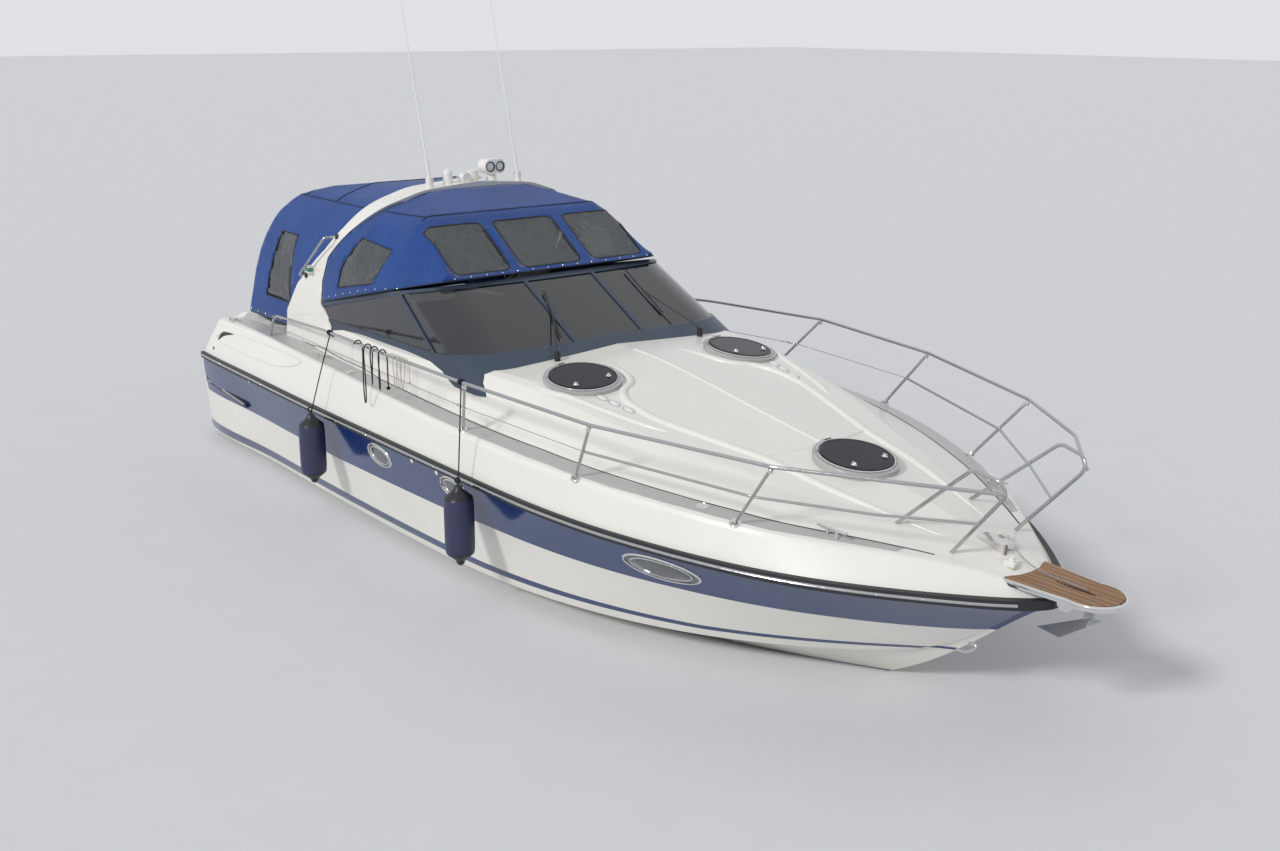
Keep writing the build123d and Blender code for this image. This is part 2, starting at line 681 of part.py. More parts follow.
with BuildPart() as trim_tabs:
    for side in (-1, 1):
        with BuildSketch(Plane.XY.offset(-40)):
            with Locations((TRANSOM_FOOT_X - 110, side * 1090)):
                Rectangle(200, 330)
        extrude(amount=8)
        with BuildSketch(Plane.XY.offset(-40)):
            with Locations((TRANSOM_FOOT_X - 6 - SEAT_GAP, side * 1090)):
                Rectangle(12, 330)
        extrude(amount=50)
part_done(trim_tabs, "trim_tabs")


def hoop_outline(table, x, grow=0.0):
    """Closed outline of a hoop seen from ahead, down to its feet."""
    half = [(y + grow, z + (grow if z > 2000 else 0)) for y, z in table]
    points = half + [(0, HOOP_CROWN_Z + grow)] + [(-y, z) for y, z in reversed(half)]
    radii = corner_radii(points, [900] * (len(points) - 2))
    with BuildSketch(Plane.YZ.offset(x)) as outline:
        with BuildLine() as edge:
            FilletPolyline(*points, radius=radii)
            Line(edge.line @ 1, edge.line @ 0)
        make_face()
    return outline.sketch


def screen_plan(z, front, half, inset=0.0):
    """Plan outline of the windscreen at one height."""
    side, corner = half - inset, SCREEN_CORNER - inset
    nose = front - inset * 1.6
    aft_half = side - SCREEN_TAPER
    with BuildSketch(Plane.XY.offset(z)) as plan:
        with BuildLine():
            aft = SCREEN_AFT - inset
            Polyline((nose - corner, -side), (aft, -aft_half), (aft, aft_half), (nose - corner, side))
            ThreePointArc(
                (nose - corner, side),
                (nose - SCREEN_BULGE - corner * (1 - cos(radians(45))), side - corner * (1 - cos(radians(45)))),
                (nose - SCREEN_BULGE, side - corner),
            )
            ThreePointArc((nose - SCREEN_BULGE, side - corner), (nose, 0), (nose - SCREEN_BULGE, corner - side))
            ThreePointArc(
                (nose - SCREEN_BULGE, corner - side),
                (nose - SCREEN_BULGE - corner * (1 - cos(radians(45))), corner * (1 - cos(radians(45))) - side),
                (nose - corner, -side),
            )
        make_face()
    return plan.sketch


def screen_solid(inset):
    """Leaning block inside the windscreen's face, set in by some depth."""
    with BuildPart() as block:
        low = screen_plan(SCREEN_LOW_Z, SCREEN_LOW_FRONT, SCREEN_LOW_HALF, inset)
        high = screen_plan(SCREEN_HIGH_Z, SCREEN_HIGH_FRONT, SCREEN_HIGH_HALF, inset)
        loft(sections=[low, high])
    return block.part


# Room that the arch takes, seen from the side, and what lies aft or ahead of its edges
FORE_OF_ARCH = [(x - 1, z) for x, z in ARCH_SIDE[7:]] + [(-4000, 1300), (-4000, 2980)]
AFT_OF_ARCH = [(x + 1, z) for x, z in ARCH_SIDE[:7]] + [(0, 2980), (0, 1300)]

with BuildPart() as arch_span:
    with BuildSketch(Plane.XZ.offset(-SPAN)):
        with BuildLine():
            Polyline(*ARCH_SIDE, close=True)
        make_face()
        offset(amount=SEAT_GAP, kind=Kind.INTERSECTION)
    extrude(amount=2 * SPAN)


# Windscreen: the whole wall first, then its frame, then the panes between
with BuildPart() as screen_wall:
    add(screen_solid(0))
    add(screen_solid(SCREEN_FRAME), mode=Mode.SUBTRACT)
    with BuildSketch(Plane.XZ.offset(-SPAN)):
        with BuildLine():
            ThreePointArc(SCREEN_TIP, SCREEN_MID, SCREEN_PEAK)
            Polyline(SCREEN_PEAK, (1200, SCREEN_PEAK[1]), (1200, 1400), (SCREEN_TIP[0], 1400), SCREEN_TIP)
        make_face()
    extrude(amount=2 * SPAN, mode=Mode.INTERSECT)
    add(deck_form.part, mode=Mode.SUBTRACT)
    add(side_prism(FORE_OF_ARCH, -SPAN, SPAN), mode=Mode.SUBTRACT)
    add(arch_span.part, mode=Mode.SUBTRACT)

with BuildPart() as screen_bands:
    # Everything but the openings of the panes
    with BuildSketch(Plane.XY.offset(1300)):
        with Locations((-700, 0)):
            Rectangle(4000, 2 * SPAN)
    extrude(amount=1300)
    with BuildSketch(Plane.XZ.offset(-SPAN)):
        with BuildLine():
            Polyline(*SIDE_PANE, close=True)
        make_face()
    extrude(amount=2 * SPAN, mode=Mode.SUBTRACT)
    with BuildSketch(Plane.XZ.offset(-SPAN)):
        with BuildLine():
            Polyline(*CORNER_PANE, close=True)
        make_face()
    extrude(amount=SPAN - MULLION_Y - MULLION / 2, mode=Mode.SUBTRACT)
    with BuildSketch(Plane.XZ.offset(SPAN)):
        with BuildLine():
            Polyline(*CORNER_PANE, close=True)
        make_face()
    extrude(amount=MULLION_Y + MULLION / 2 - SPAN, mode=Mode.SUBTRACT)
    with BuildSketch(Plane.YZ.offset(-420)):
        with Locations((0, (PANE_LOW_Z + PANE_HIGH_Z) / 2)):
            Rectangle(2 * MULLION_Y - MULLION, PANE_HIGH_Z - PANE_LOW_Z)
    extrude(amount=1500, mode=Mode.SUBTRACT)

with BuildPart() as windscreen_frame:
    add(screen_wall.part)
    add(screen_bands.part, mode=Mode.INTERSECT)
part_done(windscreen_frame, "windscreen_frame")

with BuildPart() as windscreen_glass:
    add(screen_wall.part)
    add(screen_solid(12), mode=Mode.INTERSECT)
    add(screen_solid(12 + GLASS), mode=Mode.SUBTRACT)
    add(screen_bands.part, mode=Mode.SUBTRACT)
part_done(windscreen_glass, "windscreen_glass")

# Radar arch
with BuildPart() as arch:
    extrude(hoop_outline(HOOP, -3200, ARCH_PROUD), amount=2000)
    extrude(hoop_outline(HOOP, -3200, ARCH_PROUD - ARCH_WALL), amount=2000, mode=Mode.SUBTRACT)
    with BuildSketch(Plane.XZ.offset(-SPAN)):
        with BuildLine():
            Polyline(*ARCH_SIDE, close=True)
        make_face()
    extrude(amount=2 * SPAN, mode=Mode.INTERSECT)
    add(deck_form.part, mode=Mode.SUBTRACT)
part_done(arch, "arch")

# Front canopy between the arch and the windscreen
FRONT_SKIRT = [(-1300, 2049), (-2330, 1806), (-2400, 2900)]
# Inner faces of the cloth, from the side. Columns: x, z.
FRONT_INSIDE = [
    (-2600, 2856),
    (-1700, 2856),
    (-1054, 2698),
    (-983, 2666),
    (-395, 2262),
    (-395, 1700),
    (-2600, 1700),
]
AFT_INSIDE = [
    (-1700, 2856),
    (-2400, 2823),
    (-3000, 2753),
    (-3281, 2660),
    (-3418, 2513),
    (-3892, 1480),
    (-3880, 1380),
    (-1700, 1380),
]


def canopy_block(hoops, side_points, plan_front, plan_half, inset):
    """Block under a canopy's cloth, set in by some depth, between hoops at their places."""
    with BuildPart() as block:
        loft(sections=[hoop_outline(hoop, x, -inset) for x, hoop in hoops], ruled=True)
        with BuildSketch(Plane.XZ.offset(-SPAN)):
            with BuildLine():
                Polyline(*side_points, close=True)
            make_face()
        extrude(amount=2 * SPAN, mode=Mode.INTERSECT)
        if plan_front:
            plan = screen_plan(1300, plan_front - inset * 2, plan_half - inset)
            extrude(plan, amount=1800, mode=Mode.INTERSECT)
    return block.part


# Hoops along each canopy. Columns: x, hoop.
FRONT_HOOPS = [(-2600, FRONT_HOOP), (-1600, FRONT_HOOP), (-1000, BOW_HOOP), (-450, NOSE_HOOP), (200, NOSE_HOOP)]
AFT_HOOPS = [(-4200, HOOP), (200, HOOP)]
with BuildPart() as canopy_front:
    add(canopy_block(FRONT_HOOPS, FRONT_ROOF + FRONT_SKIRT, -340, 1345, 0))
    add(canopy_block(FRONT_HOOPS, FRONT_INSIDE, -340, 1345, FABRIC), mode=Mode.SUBTRACT)
    add(side_prism(FORE_OF_ARCH, -SPAN, SPAN), mode=Mode.SUBTRACT)
    add(arch_span.part, mode=Mode.SUBTRACT)
    add(windscreen_frame.part, mode=Mode.SUBTRACT)

with BuildPart() as canopy_aft:
    add(canopy_block(AFT_HOOPS, AFT_ROOF + [(-3890, 1470), (-2900, 1470), (-1700, 1640)], None, None, 0))
    add(canopy_block(AFT_HOOPS, AFT_INSIDE, None, None, FABRIC), mode=Mode.SUBTRACT)
    add(side_prism(AFT_OF_ARCH, -SPAN, SPAN), mode=Mode.SUBTRACT)
    add(arch_span.part, mode=Mode.SUBTRACT)
    add(deck_form.part, mode=Mode.SUBTRACT)

# Deck hatches: flanged frames with hinge ears, and domed lids that hinge at their aft edge
with BuildPart() as hatch_frames:
    for hatch_name, *place in HATCHES:
        base = hatch_plane(*place)
        with BuildSketch(base.offset(-60)):
            Circle(HATCH_FLANGE)
        extrude(amount=60 + HATCH_RISE)
        with Locations(base * Location((-HATCH_PIVOT, 0, HATCH_RISE + 6))):
            for shift in (-33, 33):
                with Locations((0, shift, 0)):
                    Cylinder(HATCH_BARREL + 1, 14, rotation=(90, 0, 0))
    for hatch_name, *place in HATCHES:
        with BuildSketch(hatch_plane(*place).offset(-100)):
            Circle(HATCH_HOLE)
        extrude(amount=200, mode=Mode.SUBTRACT)
    add(deck_form.part, mode=Mode.SUBTRACT)
part_done(hatch_frames, "hatch_frames")

for hatch_name, *place in HATCHES:
    base = hatch_plane(*place)
    with BuildPart() as hatch_lid:
        with BuildSketch(base.offset(HATCH_RISE + SEAT_GAP)):
            Circle(HATCH_LID)
        extrude(amount=HATCH_LID_THICK)
        chamfer(hatch_lid.faces().sort_by(Axis.Z)[-1].edges(), 5)
        with BuildSketch(base.offset(HATCH_RISE + SEAT_GAP)):
            with Locations(((-HATCH_PIVOT - HATCH_LID) / 2 + 6, 0)):
                Rectangle(HATCH_PIVOT - HATCH_LID + 12, 50)
        extrude(amount=10)
        with Locations(base * Location((-HATCH_PIVOT, 0, HATCH_RISE + 6 + SEAT_GAP))):
            Cylinder(HATCH_BARREL - 2, 50, rotation=(90, 0, 0))
    part_done(hatch_lid, f"hatch_lid_{hatch_name}")

# Bow rails: rail, mid rail, stanchions and the pulpit loop of one side
TOP_RAIL = [
    (-3170, 1400, 1320),
    (-3040, 1400, 1585),
    (-1700, 1560, 1700),
    (-300, 1730, 1775),
    (1041, 1805, 1820),
    (2341, 1668, 1787),
    (3607, 1255, 1746),
    (4300, 800, 1730),
    (4668, 392, 1676),
]
MID_RAIL = [(2181, 1610, 1560), (3400, 1211, 1492), (4000, 770, 1450), (4463, 362, 1432)]
PULPIT = [(3760, 357, 1190), (4442, 432, 1781), (4716, 397, 1733), (4205, 313, 1125)]
LIFELINE = [(-3080, 1400, 1480), (850, 1703, 1584), (2181, 1610, 1560)]
# Stanchions. Columns: foot x, y, z, top x, y, z.
STANCHIONS = [
    (3199, 1167, 1246, 3607, 1255, 1746),
    (2022, 1551, 1333, 2341, 1668, 1787),
    (664, 1602, 1350, 1041, 1805, 1820),
]


def tube(path_points, radius, bend):
    """Round bar along points, with bent corners."""
    with BuildPart() as bar:
        with BuildLine() as path:
            if len(path_points) == 2:
                Line(*path_points)
            else:
                FilletPolyline(*path_points, radius=corner_radii(path_points, [bend] * (len(path_points) - 2)))
        with BuildSketch(Plane(path.line @ 0, z_dir=path.line % 0)):
            Circle(radius)
        sweep()
    return bar.part


with BuildPart() as rail_port:
    add(tube(TOP_RAIL, TUBE, RAIL_BEND))
    add(tube(PULPIT, TUBE, 90))
    add(tube(MID_RAIL, TUBE - 3, RAIL_BEND))
    add(tube(LIFELINE, WIRE, RAIL_BEND))
    for foot_x, foot_y, foot_z, top_x, top_y, top_z in STANCHIONS:
        lean = Vector(top_x - foot_x, top_y - foot_y, top_z - foot_z).normalized()
        start = Vector(foot_x, foot_y, foot_z) - lean * 60
        add(tube([tuple(start), (top_x, top_y, top_z)], TUBE - 1.5, 0))
        with Locations((foot_x, foot_y, foot_z)):
            Cylinder(30, 22)
    add(deck_form.part, mode=Mode.SUBTRACT)
part_done(rail_port, "rail_port")

with BuildPart() as rail_starboard:
    add(rail_port.part.mirror(Plane.XZ))
part_done(rail_starboard, "rail_starboard")

# Bow platform: a teak-topped plank with a slot, its aft end notched round the deck's nose
PLANK_AFT = 4500.0
PLANK_TIP = 5240.0
PLANK_HALF = 225.0
PLANK_Z = 1042.0
PLANK_THICK = 32.0
CHEEK_Y = 50.0
ROLLER_X, ROLLER_Z, ROLLER_RADIUS = 4900.0, 974.0, 28.0
CHEEK = [(4835, 1045), (4990, 1045), (4955, 970), (4920, 935), (4870, 930), (4842, 960)]


def plank_plan(z, grow):
    """Plan outline of the bow plank, round at its tip and open along its slot."""
    half, tip = PLANK_HALF + grow, PLANK_TIP + grow
    with BuildSketch(Plane.XY.offset(z)) as plan:
        with BuildLine():
            round_x, round_y, aft = tip - 230, half * 0.8, PLANK_AFT - grow
            Polyline((round_x, -round_y), (aft, -half), (aft, half), (round_x, round_y))
            ThreePointArc((round_x, round_y), (tip, 0), (round_x, -round_y))
        make_face()
        with Locations((PLANK_TIP - 290, 0)):
            SlotOverall(280 - 2 * grow, 26 - 2 * grow, mode=Mode.SUBTRACT)
    return plan.sketch


with BuildPart() as plank_rough:
    extrude(plank_plan(PLANK_Z, 0), amount=PLANK_THICK)
    for side in (-1, 1):
        add(side_prism(CHEEK, side * CHEEK_Y - 4, side * CHEEK_Y + 4))
    with Locations((ROLLER_X, 0, ROLLER_Z)):
        Cylinder(ROLLER_RADIUS, 2 * CHEEK_Y, rotation=(90, 0, 0))
    add(deck_form.part, mode=Mode.SUBTRACT)

with BuildPart() as bow_platform:
    add(plank_rough.part.solids().sort_by(SortBy.VOLUME)[-1])
part_done(bow_platform, "bow_platform")

with BuildPart() as plank_teak_rough:
    extrude(plank_plan(PLANK_Z + PLANK_THICK + SEAT_GAP, -14), amount=TEAK)
    add(deck_form.part, mode=Mode.SUBTRACT)

with BuildPart() as bow_platform_teak:
    add(plank_teak_rough.part.solids().sort_by(SortBy.VOLUME)[-1])
part_done(bow_platform_teak, "bow_platform_teak")

# Plough anchor stowed under the plank, its shank on the roller
ANCHOR_CROWN = (5050, 0, 925)
ANCHOR_TIP = (4690, 0, 740)
WING_X, WING_Y, WING_Z = 4930.0, 125.0, 790.0
SHANK_Z = ROLLER_Z + ROLLER_RADIUS + SEAT_GAP
SHANK = [
    (4795, SHANK_Z),
    (4795, SHANK_Z + 34),
    (5010, SHANK_Z + 34),
    (5060, 1000),
    (5066, 925),
    (5030, 905),
    (5000, 925),
    (5010, 985),
    (4980, SHANK_Z),
]
with BuildPart() as anchor:
    add(side_prism(SHANK, -9, 9))
    for side in (-1, 1):
        ridge = (Vector(*ANCHOR_CROWN) - Vector(*ANCHOR_TIP))
        wing = Vector(WING_X, side * WING_Y, WING_Z) - Vector(*ANCHOR_TIP)
        fluke = Plane(ANCHOR_TIP, x_dir=ridge, z_dir=ridge.cross(wing) * side)
        reach, spread = wing.dot(fluke.x_dir), wing.dot(fluke.y_dir)
        with BuildSketch(fluke):
            with BuildLine():
                crown = ridge.length
                Polyline((0, -3 * side), (reach, spread), (crown, spread * 0.6), (crown, -3 * side), close=True)
            make_face()
        extrude(amount=9)
part_done(anchor, "anchor")

# Low windlass and roller cheek on the fore deck
with BuildPart() as windlass:
    with BuildSketch(Plane.XY.offset(1120)):
        with Locations((4330, 0)):
            RectangleRounded(230, 120, 30)
    extrude(amount=95)
    with Locations((4330, 80, 1185)):
        Cylinder(42, 50, rotation=(90, 0, 0))
    add(deck_form.part, mode=Mode.SUBTRACT)
part_done(windlass, "windlass")

# Mooring cleats. Columns: x, y, z.
CLEATS = [(3690, 800, 1228), (-2000, 1445, 1371), (-4060, 1400, 1350)]
with BuildPart() as cleats:
    for cleat_x, cleat_y, cleat_z in CLEATS:
        for side in (-1, 1):
            for foot in (-40, 40):
                with Locations((cleat_x + foot, side * cleat_y, cleat_z)):
                    Cylinder(11, 90)
            with Locations((cleat_x, side * cleat_y, cleat_z + 45)):
                Cylinder(11, 240, rotation=(0, 90, 0))
    add(deck_form.part, mode=Mode.SUBTRACT)
part_done(cleats, "cleats")

# Canopy windows and the hoops that carry the aft canopy
FRONT_PANES_Z = (2290.0, 2630.0)
PANE_CORNER = 60.0
# Front panes. Columns: centre y, width.
FRONT_PANES = [(0, 620), (700, 560), (-700, 560)]
# Side panes of the front and the aft canopy. Columns: x, z.
SIDE_PANES = [
    [(-1900, 2010), (-1230, 2140), (-1150, 2420), (-1620, 2470)],
    [(-3480, 1700), (-2960, 1700), (-2860, 2350), (-3200, 2350)],
]

# Solids through the canopies where their clear panes are
with BuildPart() as panes:
    with BuildSketch(Plane.YZ.offset(-900)):
        for centre, width in FRONT_PANES:
            with Locations((centre, sum(FRONT_PANES_Z) / 2)):
                RectangleRounded(width, FRONT_PANES_Z[1] - FRONT_PANES_Z[0], PANE_CORNER)
    extrude(amount=1200)
    with BuildSketch(Plane.XZ.offset(-SPAN)):
        for corners in SIDE_PANES:
            with BuildLine():
                Polyline(*corners, close=True)
            make_face()
    extrude(amount=2 * SPAN)
    with BuildSketch(Plane.YZ.offset(-4000)):
        with Locations((0, 2000)):
            RectangleRounded(1500, 620, PANE_CORNER)
    extrude(amount=800)

with BuildPart() as canopy_windows:
    add(canopy_front.part)
    add(canopy_aft.part)
    add(panes.part, mode=Mode.INTERSECT)
part_done(canopy_windows, "canopy_windows")

with BuildPart() as canopy_front_cloth:
    add(canopy_front.part)
    add(panes.part, mode=Mode.SUBTRACT)
part_done(canopy_front_cloth, "canopy_front")

with BuildPart() as canopy_aft_cloth:
    add(canopy_aft.part)
    add(panes.part, mode=Mode.SUBTRACT)
part_done(canopy_aft_cloth, "canopy_aft")

# Hoops. Columns: shoulder x, crown z.
BOW_HOOPS = [(-2500, 2750), (-3160, 2640)]
HOOP_FOOT = (-2850, 1165, 1545)
with BuildPart() as canopy_hoops:
    for hoop_x, crown_z in BOW_HOOPS:
        half = [HOOP_FOOT, (hoop_x, 1150, 2150), (hoop_x, 900, crown_z - 90)]
        add(tube(half + [(hoop_x, 0, crown_z)] + [(x, -y, z) for x, y, z in reversed(half)], 11, 300))
    for side in (-1, 1):
        with Locations((HOOP_FOOT[0], side * HOOP_FOOT[1], HOOP_FOOT[2] - 20)):
            Box(70, 50, 80)
    add(deck_form.part, mode=Mode.SUBTRACT)
part_done(canopy_hoops, "canopy_hoops")

# Helm console to starboard, with its wheel
CONSOLE = [(-186, SOLE_Z + SEAT_GAP), (-186, 1668), (-430, 1668), (-700, 1420), (-640, SOLE_Z + SEAT_GAP)]
HELM = Plane((-565, -700, 1544), x_dir=(0, 1, 0), z_dir=(-0.676, 0, 0.737))
WHEEL_OUT = 95.0
WHEEL_RADIUS = 185.0
with BuildPart() as helm_console:
    add(side_prism(CONSOLE, -1100, -260))
    with Locations(HELM):
        Cylinder(34, 60)
part_done(helm_console, "helm_console")

with BuildPart() as helm_wheel:
    with Locations(HELM.offset(WHEEL_OUT)):
        Torus(WHEEL_RADIUS, 15)
        Cylinder(38, 34)
        for turn in (90, 210, 330):
            with Locations(Location((0, 0, 0), (0, 0, turn))):
                with Locations((WHEEL_RADIUS / 2, 0, 0)):
                    Box(WHEEL_RADIUS, 30, 8)
    with BuildSketch(HELM.offset(30 + SEAT_GAP)):
        Circle(16)
    extrude(amount=WHEEL_OUT - 30)
part_done(helm_wheel, "helm_wheel")

# Seats: moulded bases, with cushions on them
SEAT_FOOT = SOLE_Z + SEAT_GAP
HELM_SEAT = [(-1720, SEAT_FOOT), (-1720, 1600), (-1650, 1600), (-1650, 1150), (-1180, 1150), (-1240, SEAT_FOOT)]
# Plain benches. Columns: low x, high x, low y, high y, top z.
BENCHES = [(-3780, -3330, -1095, 440, 1060), (-2000, -1000, 640, 1095, 1060)]
with BuildPart() as cockpit_seats:
    add(side_prism(HELM_SEAT, -1095, -260))
    for low_x, high_x, low_y, high_y, top in BENCHES:
        add(side_prism([(low_x, SEAT_FOOT), (low_x, top), (high_x, top), (high_x, SEAT_FOOT)], low_y, high_y))
part_done(cockpit_seats, "cockpit_seats")

# Cushions. Columns: low x, high x, low y, high y, seat z, height, corner radius.
CUSHIONS = [
    (-1578, -1185, -1088, -268, 1150, 100, 60),
    (-1649.7, -1580, -1088, -268, 1150, 470, 30),
    (-3658, -3340, -1088, 432, 1060, 100, 60),
    (-3770, -3660, -1088, 432, 1060, 340, 30),
    (-1992, -1008, 648, 988, 1060, 100, 60),
    (-1992, -1008, 990, 1090, 1060, 340, 30),
]
with BuildPart() as cockpit_cushions:
    for low_x, high_x, low_y, high_y, seat_z, height, radius in CUSHIONS:
        with BuildSketch(Plane.XY.offset(seat_z + SEAT_GAP)):
            with Locations(((low_x + high_x) / 2, (low_y + high_y) / 2)):
                RectangleRounded(high_x - low_x, high_y - low_y, radius)
        extrude(amount=height)
part_done(cockpit_cushions, "cockpit_cushions")

# Whip aerials, domes, horn and searchlight on the arch
ARCH_TOP = HOOP_CROWN_Z + ARCH_PROUD
with BuildPart() as aerials:
    for side in (-1, 1):
        with BuildSketch(Plane((-1640, side * 468, ARCH_TOP - 60))):
            Circle(34)
        extrude(amount=110)
        whip = Plane((-1640, side * 468, ARCH_TOP + 40), z_dir=(-0.25, 0, 0.968))
        for radius, height in ((13, 160), (8, 1100), (5, 1900)):
            with BuildSketch(whip):
                Circle(radius)
            extrude(amount=height)
    add(arch.part, mode=Mode.SUBTRACT)
part_done(aerials, "aerials")

with BuildPart() as arch_instruments:
    # White domed aerial, horn trumpet and round light
    with Locations((-1690, -250, ARCH_TOP + 10)):
        Cylinder(45, 110)
    with Locations((-1690, -250, ARCH_TOP + 65)):
        Sphere(45)
    with Locations((-1700, 20, ARCH_TOP + 20)):
        Cylinder(55, 120)
    with Locations((-1660, -110, ARCH_TOP + 28)):
        Cone(20, 45, 150, rotation=(0, 90, 0))
        Box(40, 30, 80)
    add(arch.part, mode=Mode.SUBTRACT)
part_done(arch_instruments, "arch_instruments")

LAMP_Y = 215.0
with BuildPart() as searchlight_base:
    with BuildSketch(Plane.XY.offset(ARCH_TOP - 60)):
        with Locations((-1690, LAMP_Y)):
            Circle(48)
    extrude(amount=82)
    add(arch.part, mode=Mode.SUBTRACT)
part_done(searchlight_base, "searchlight_base")

with BuildPart() as searchlight:
    with BuildSketch(Plane.XY.offset(ARCH_TOP + 22 + SEAT_GAP)):
        with Locations((-1690, LAMP_Y)):
            Circle(38)
    extrude(amount=24)
    with BuildSketch(Plane.YZ.offset(-1770)):
        with Locations((LAMP_Y, ARCH_TOP + 108)):
            RectangleRounded(215, 130, 60)
    extrude(amount=150)
    fillet(searchlight.faces().sort_by(Axis.X)[0].edges(), 30)
    with BuildSketch(Plane.YZ.offset(-1628)):
        with Locations((LAMP_Y - 52, ARCH_TOP + 108), (LAMP_Y + 52, ARCH_TOP + 108)):
            Circle(42)
    extrude(amount=20, mode=Mode.SUBTRACT)
part_done(searchlight, "searchlight")

# Side lights and grab rails on the arch legs
with BuildPart() as side_lights:
    for side in (-1, 1):
        with Locations((-2430, side * (HOOP[1][0] + ARCH_PROUD + 7), 2100)):
            Box(90, 60, 60)
    add(arch.part, mode=Mode.SUBTRACT)
part_done(side_lights, "side_lights")

with BuildPart() as arch_handles:
    out = HOOP[1][0] + ARCH_PROUD + 62
    add(tube([(-2550, 1240, 2030), (-2550, out, 2030), (-2075, out - 40, 2430), (-2075, 1140, 2430)], 10, 30))
    add(arch.part, mode=Mode.SUBTRACT)
    mirror(about=Plane.XZ)
part_done(arch_handles, "arch_handles")

# Wipers parked on the glass. Columns: foot x and y, upper and lower end of the blade.
WIPERS = [
    ((568, 820), (-290, 688, 2183), (238, 678, 1894)),
    ((576, -668), (-165, -275, 2124), (333, -465, 1848)),
]
with BuildPart() as wipers:
    for (foot_x, foot_y), high, low in WIPERS:
        with Locations((foot_x, foot_y, 1745)):
            Cylinder(24, 114)
        middle = tuple((Vector(*high) + Vector(*low)) / 2)
        add(tube([(foot_x, foot_y, 1800), middle], 5.5, 0))
        add(tube([high, low], 7, 0))
    add(deck_form.part, mode=Mode.SUBTRACT)
part_done(wipers, "wipers")

# Bathing ladder folded on the platform, hinged at its aft edge
LADDER_X, LADDER_Y, LADDER_Z = -4722.0, -700.0, 602.0
LADDER_HALF = 150.0
LADDER_LENGTH = 700.0
EAR = [(-4706, 575.3), (-4691, 575.3), (-4691, 600), (-4712, 616), (-4734, 616), (-4738, 594), (-4722, 588)]
with BuildPart() as ladder_brackets:
    for side in (-1, 1):
        ear_y = LADDER_Y + side * (LADDER_HALF + 22)
        add(side_prism(EAR, ear_y - 5, ear_y + 5))
part_done(ladder_brackets, "ladder_brackets")

with BuildPart() as ladder:
    for side in (-1, 1):
        stile_y = LADDER_Y + side * LADDER_HALF
        add(tube([(LADDER_X, stile_y, LADDER_Z), (LADDER_X + LADDER_LENGTH, stile_y, LADDER_Z)], 11, 0))
    for step in (110, 330, 550, LADDER_LENGTH - 10):
        rung_x, reach = LADDER_X + step, LADDER_HALF
        add(tube([(rung_x, LADDER_Y - reach, LADDER_Z), (rung_x, LADDER_Y + reach, LADDER_Z)], 9, 0))
    pin = LADDER_HALF + 16.7
    add(tube([(LADDER_X, LADDER_Y - pin, LADDER_Z), (LADDER_X, LADDER_Y + pin, LADDER_Z)], 9, 0))
part_done(ladder, "ladder")

# Fenders hung from the starboard rail. Columns: x, y, bottom z, rail x, y, z.
FENDERS = [(-1530, -1792, 400, -1500, -1584, 1711), (900, -1802, 400, 985, -1802, 1818)]
RAIL_ROOM = tube([(x, -y, z) for x, y, z in TOP_RAIL], TUBE + SEAT_GAP, RAIL_BEND)
with BuildPart() as fenders:
    for fender_x, fender_y, low_z, rail_x, rail_y, rail_z in FENDERS:
        with BuildSketch(Plane((fender_x, fender_y, low_z), x_dir=(1, 0, 0), z_dir=(0, -1, 0))):
            with BuildLine():
                Polyline((0, 0), (30, 0), (30, 20))
                ThreePointArc((30, 20), (92, 50), (112, 110))
                Line((112, 110), (112, 500))
                ThreePointArc((112, 500), (92, 560), (30, 590))
                Polyline((30, 590), (30, 620), (0, 620), (0, 0))
            make_face()
        revolve(axis=Axis((fender_x, fender_y, 0), (0, 0, 1)))
        add(tube([(fender_x, fender_y, low_z + 600), (rail_x, rail_y, rail_z)], 5, 0))
    add(RAIL_ROOM, mode=Mode.SUBTRACT)
part_done(fenders, "fenders")
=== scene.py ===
"""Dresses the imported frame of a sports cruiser: finishes, canopies, fittings, ropes, camera and light."""

from __future__ import annotations

import json
import logging
import math
from dataclasses import dataclass, field
from enum import Enum
from typing import Iterable, Sequence

import bmesh
import bpy
from mathutils import Matrix, Vector, noise
from mathutils.bvhtree import BVHTree

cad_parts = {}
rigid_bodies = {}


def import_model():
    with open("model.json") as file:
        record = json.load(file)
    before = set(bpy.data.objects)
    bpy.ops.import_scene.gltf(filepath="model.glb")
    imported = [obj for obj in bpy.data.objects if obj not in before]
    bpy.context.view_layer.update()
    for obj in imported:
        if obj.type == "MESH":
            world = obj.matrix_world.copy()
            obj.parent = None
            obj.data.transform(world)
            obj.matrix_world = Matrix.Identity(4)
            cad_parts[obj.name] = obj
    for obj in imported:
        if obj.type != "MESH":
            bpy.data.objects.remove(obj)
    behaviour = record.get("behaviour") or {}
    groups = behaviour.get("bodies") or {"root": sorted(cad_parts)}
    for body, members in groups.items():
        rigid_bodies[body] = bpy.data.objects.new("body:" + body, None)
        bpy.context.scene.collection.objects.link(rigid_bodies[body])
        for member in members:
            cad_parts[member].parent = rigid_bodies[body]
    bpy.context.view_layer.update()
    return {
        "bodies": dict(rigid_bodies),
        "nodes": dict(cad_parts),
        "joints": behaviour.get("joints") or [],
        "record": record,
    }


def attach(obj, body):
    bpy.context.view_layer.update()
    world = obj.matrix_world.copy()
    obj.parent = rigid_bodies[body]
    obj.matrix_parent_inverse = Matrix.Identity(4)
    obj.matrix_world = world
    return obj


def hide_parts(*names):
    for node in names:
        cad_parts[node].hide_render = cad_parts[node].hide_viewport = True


log = logging.getLogger("cruiser")
Colour = tuple[float, float, float]
Point = Sequence[float]
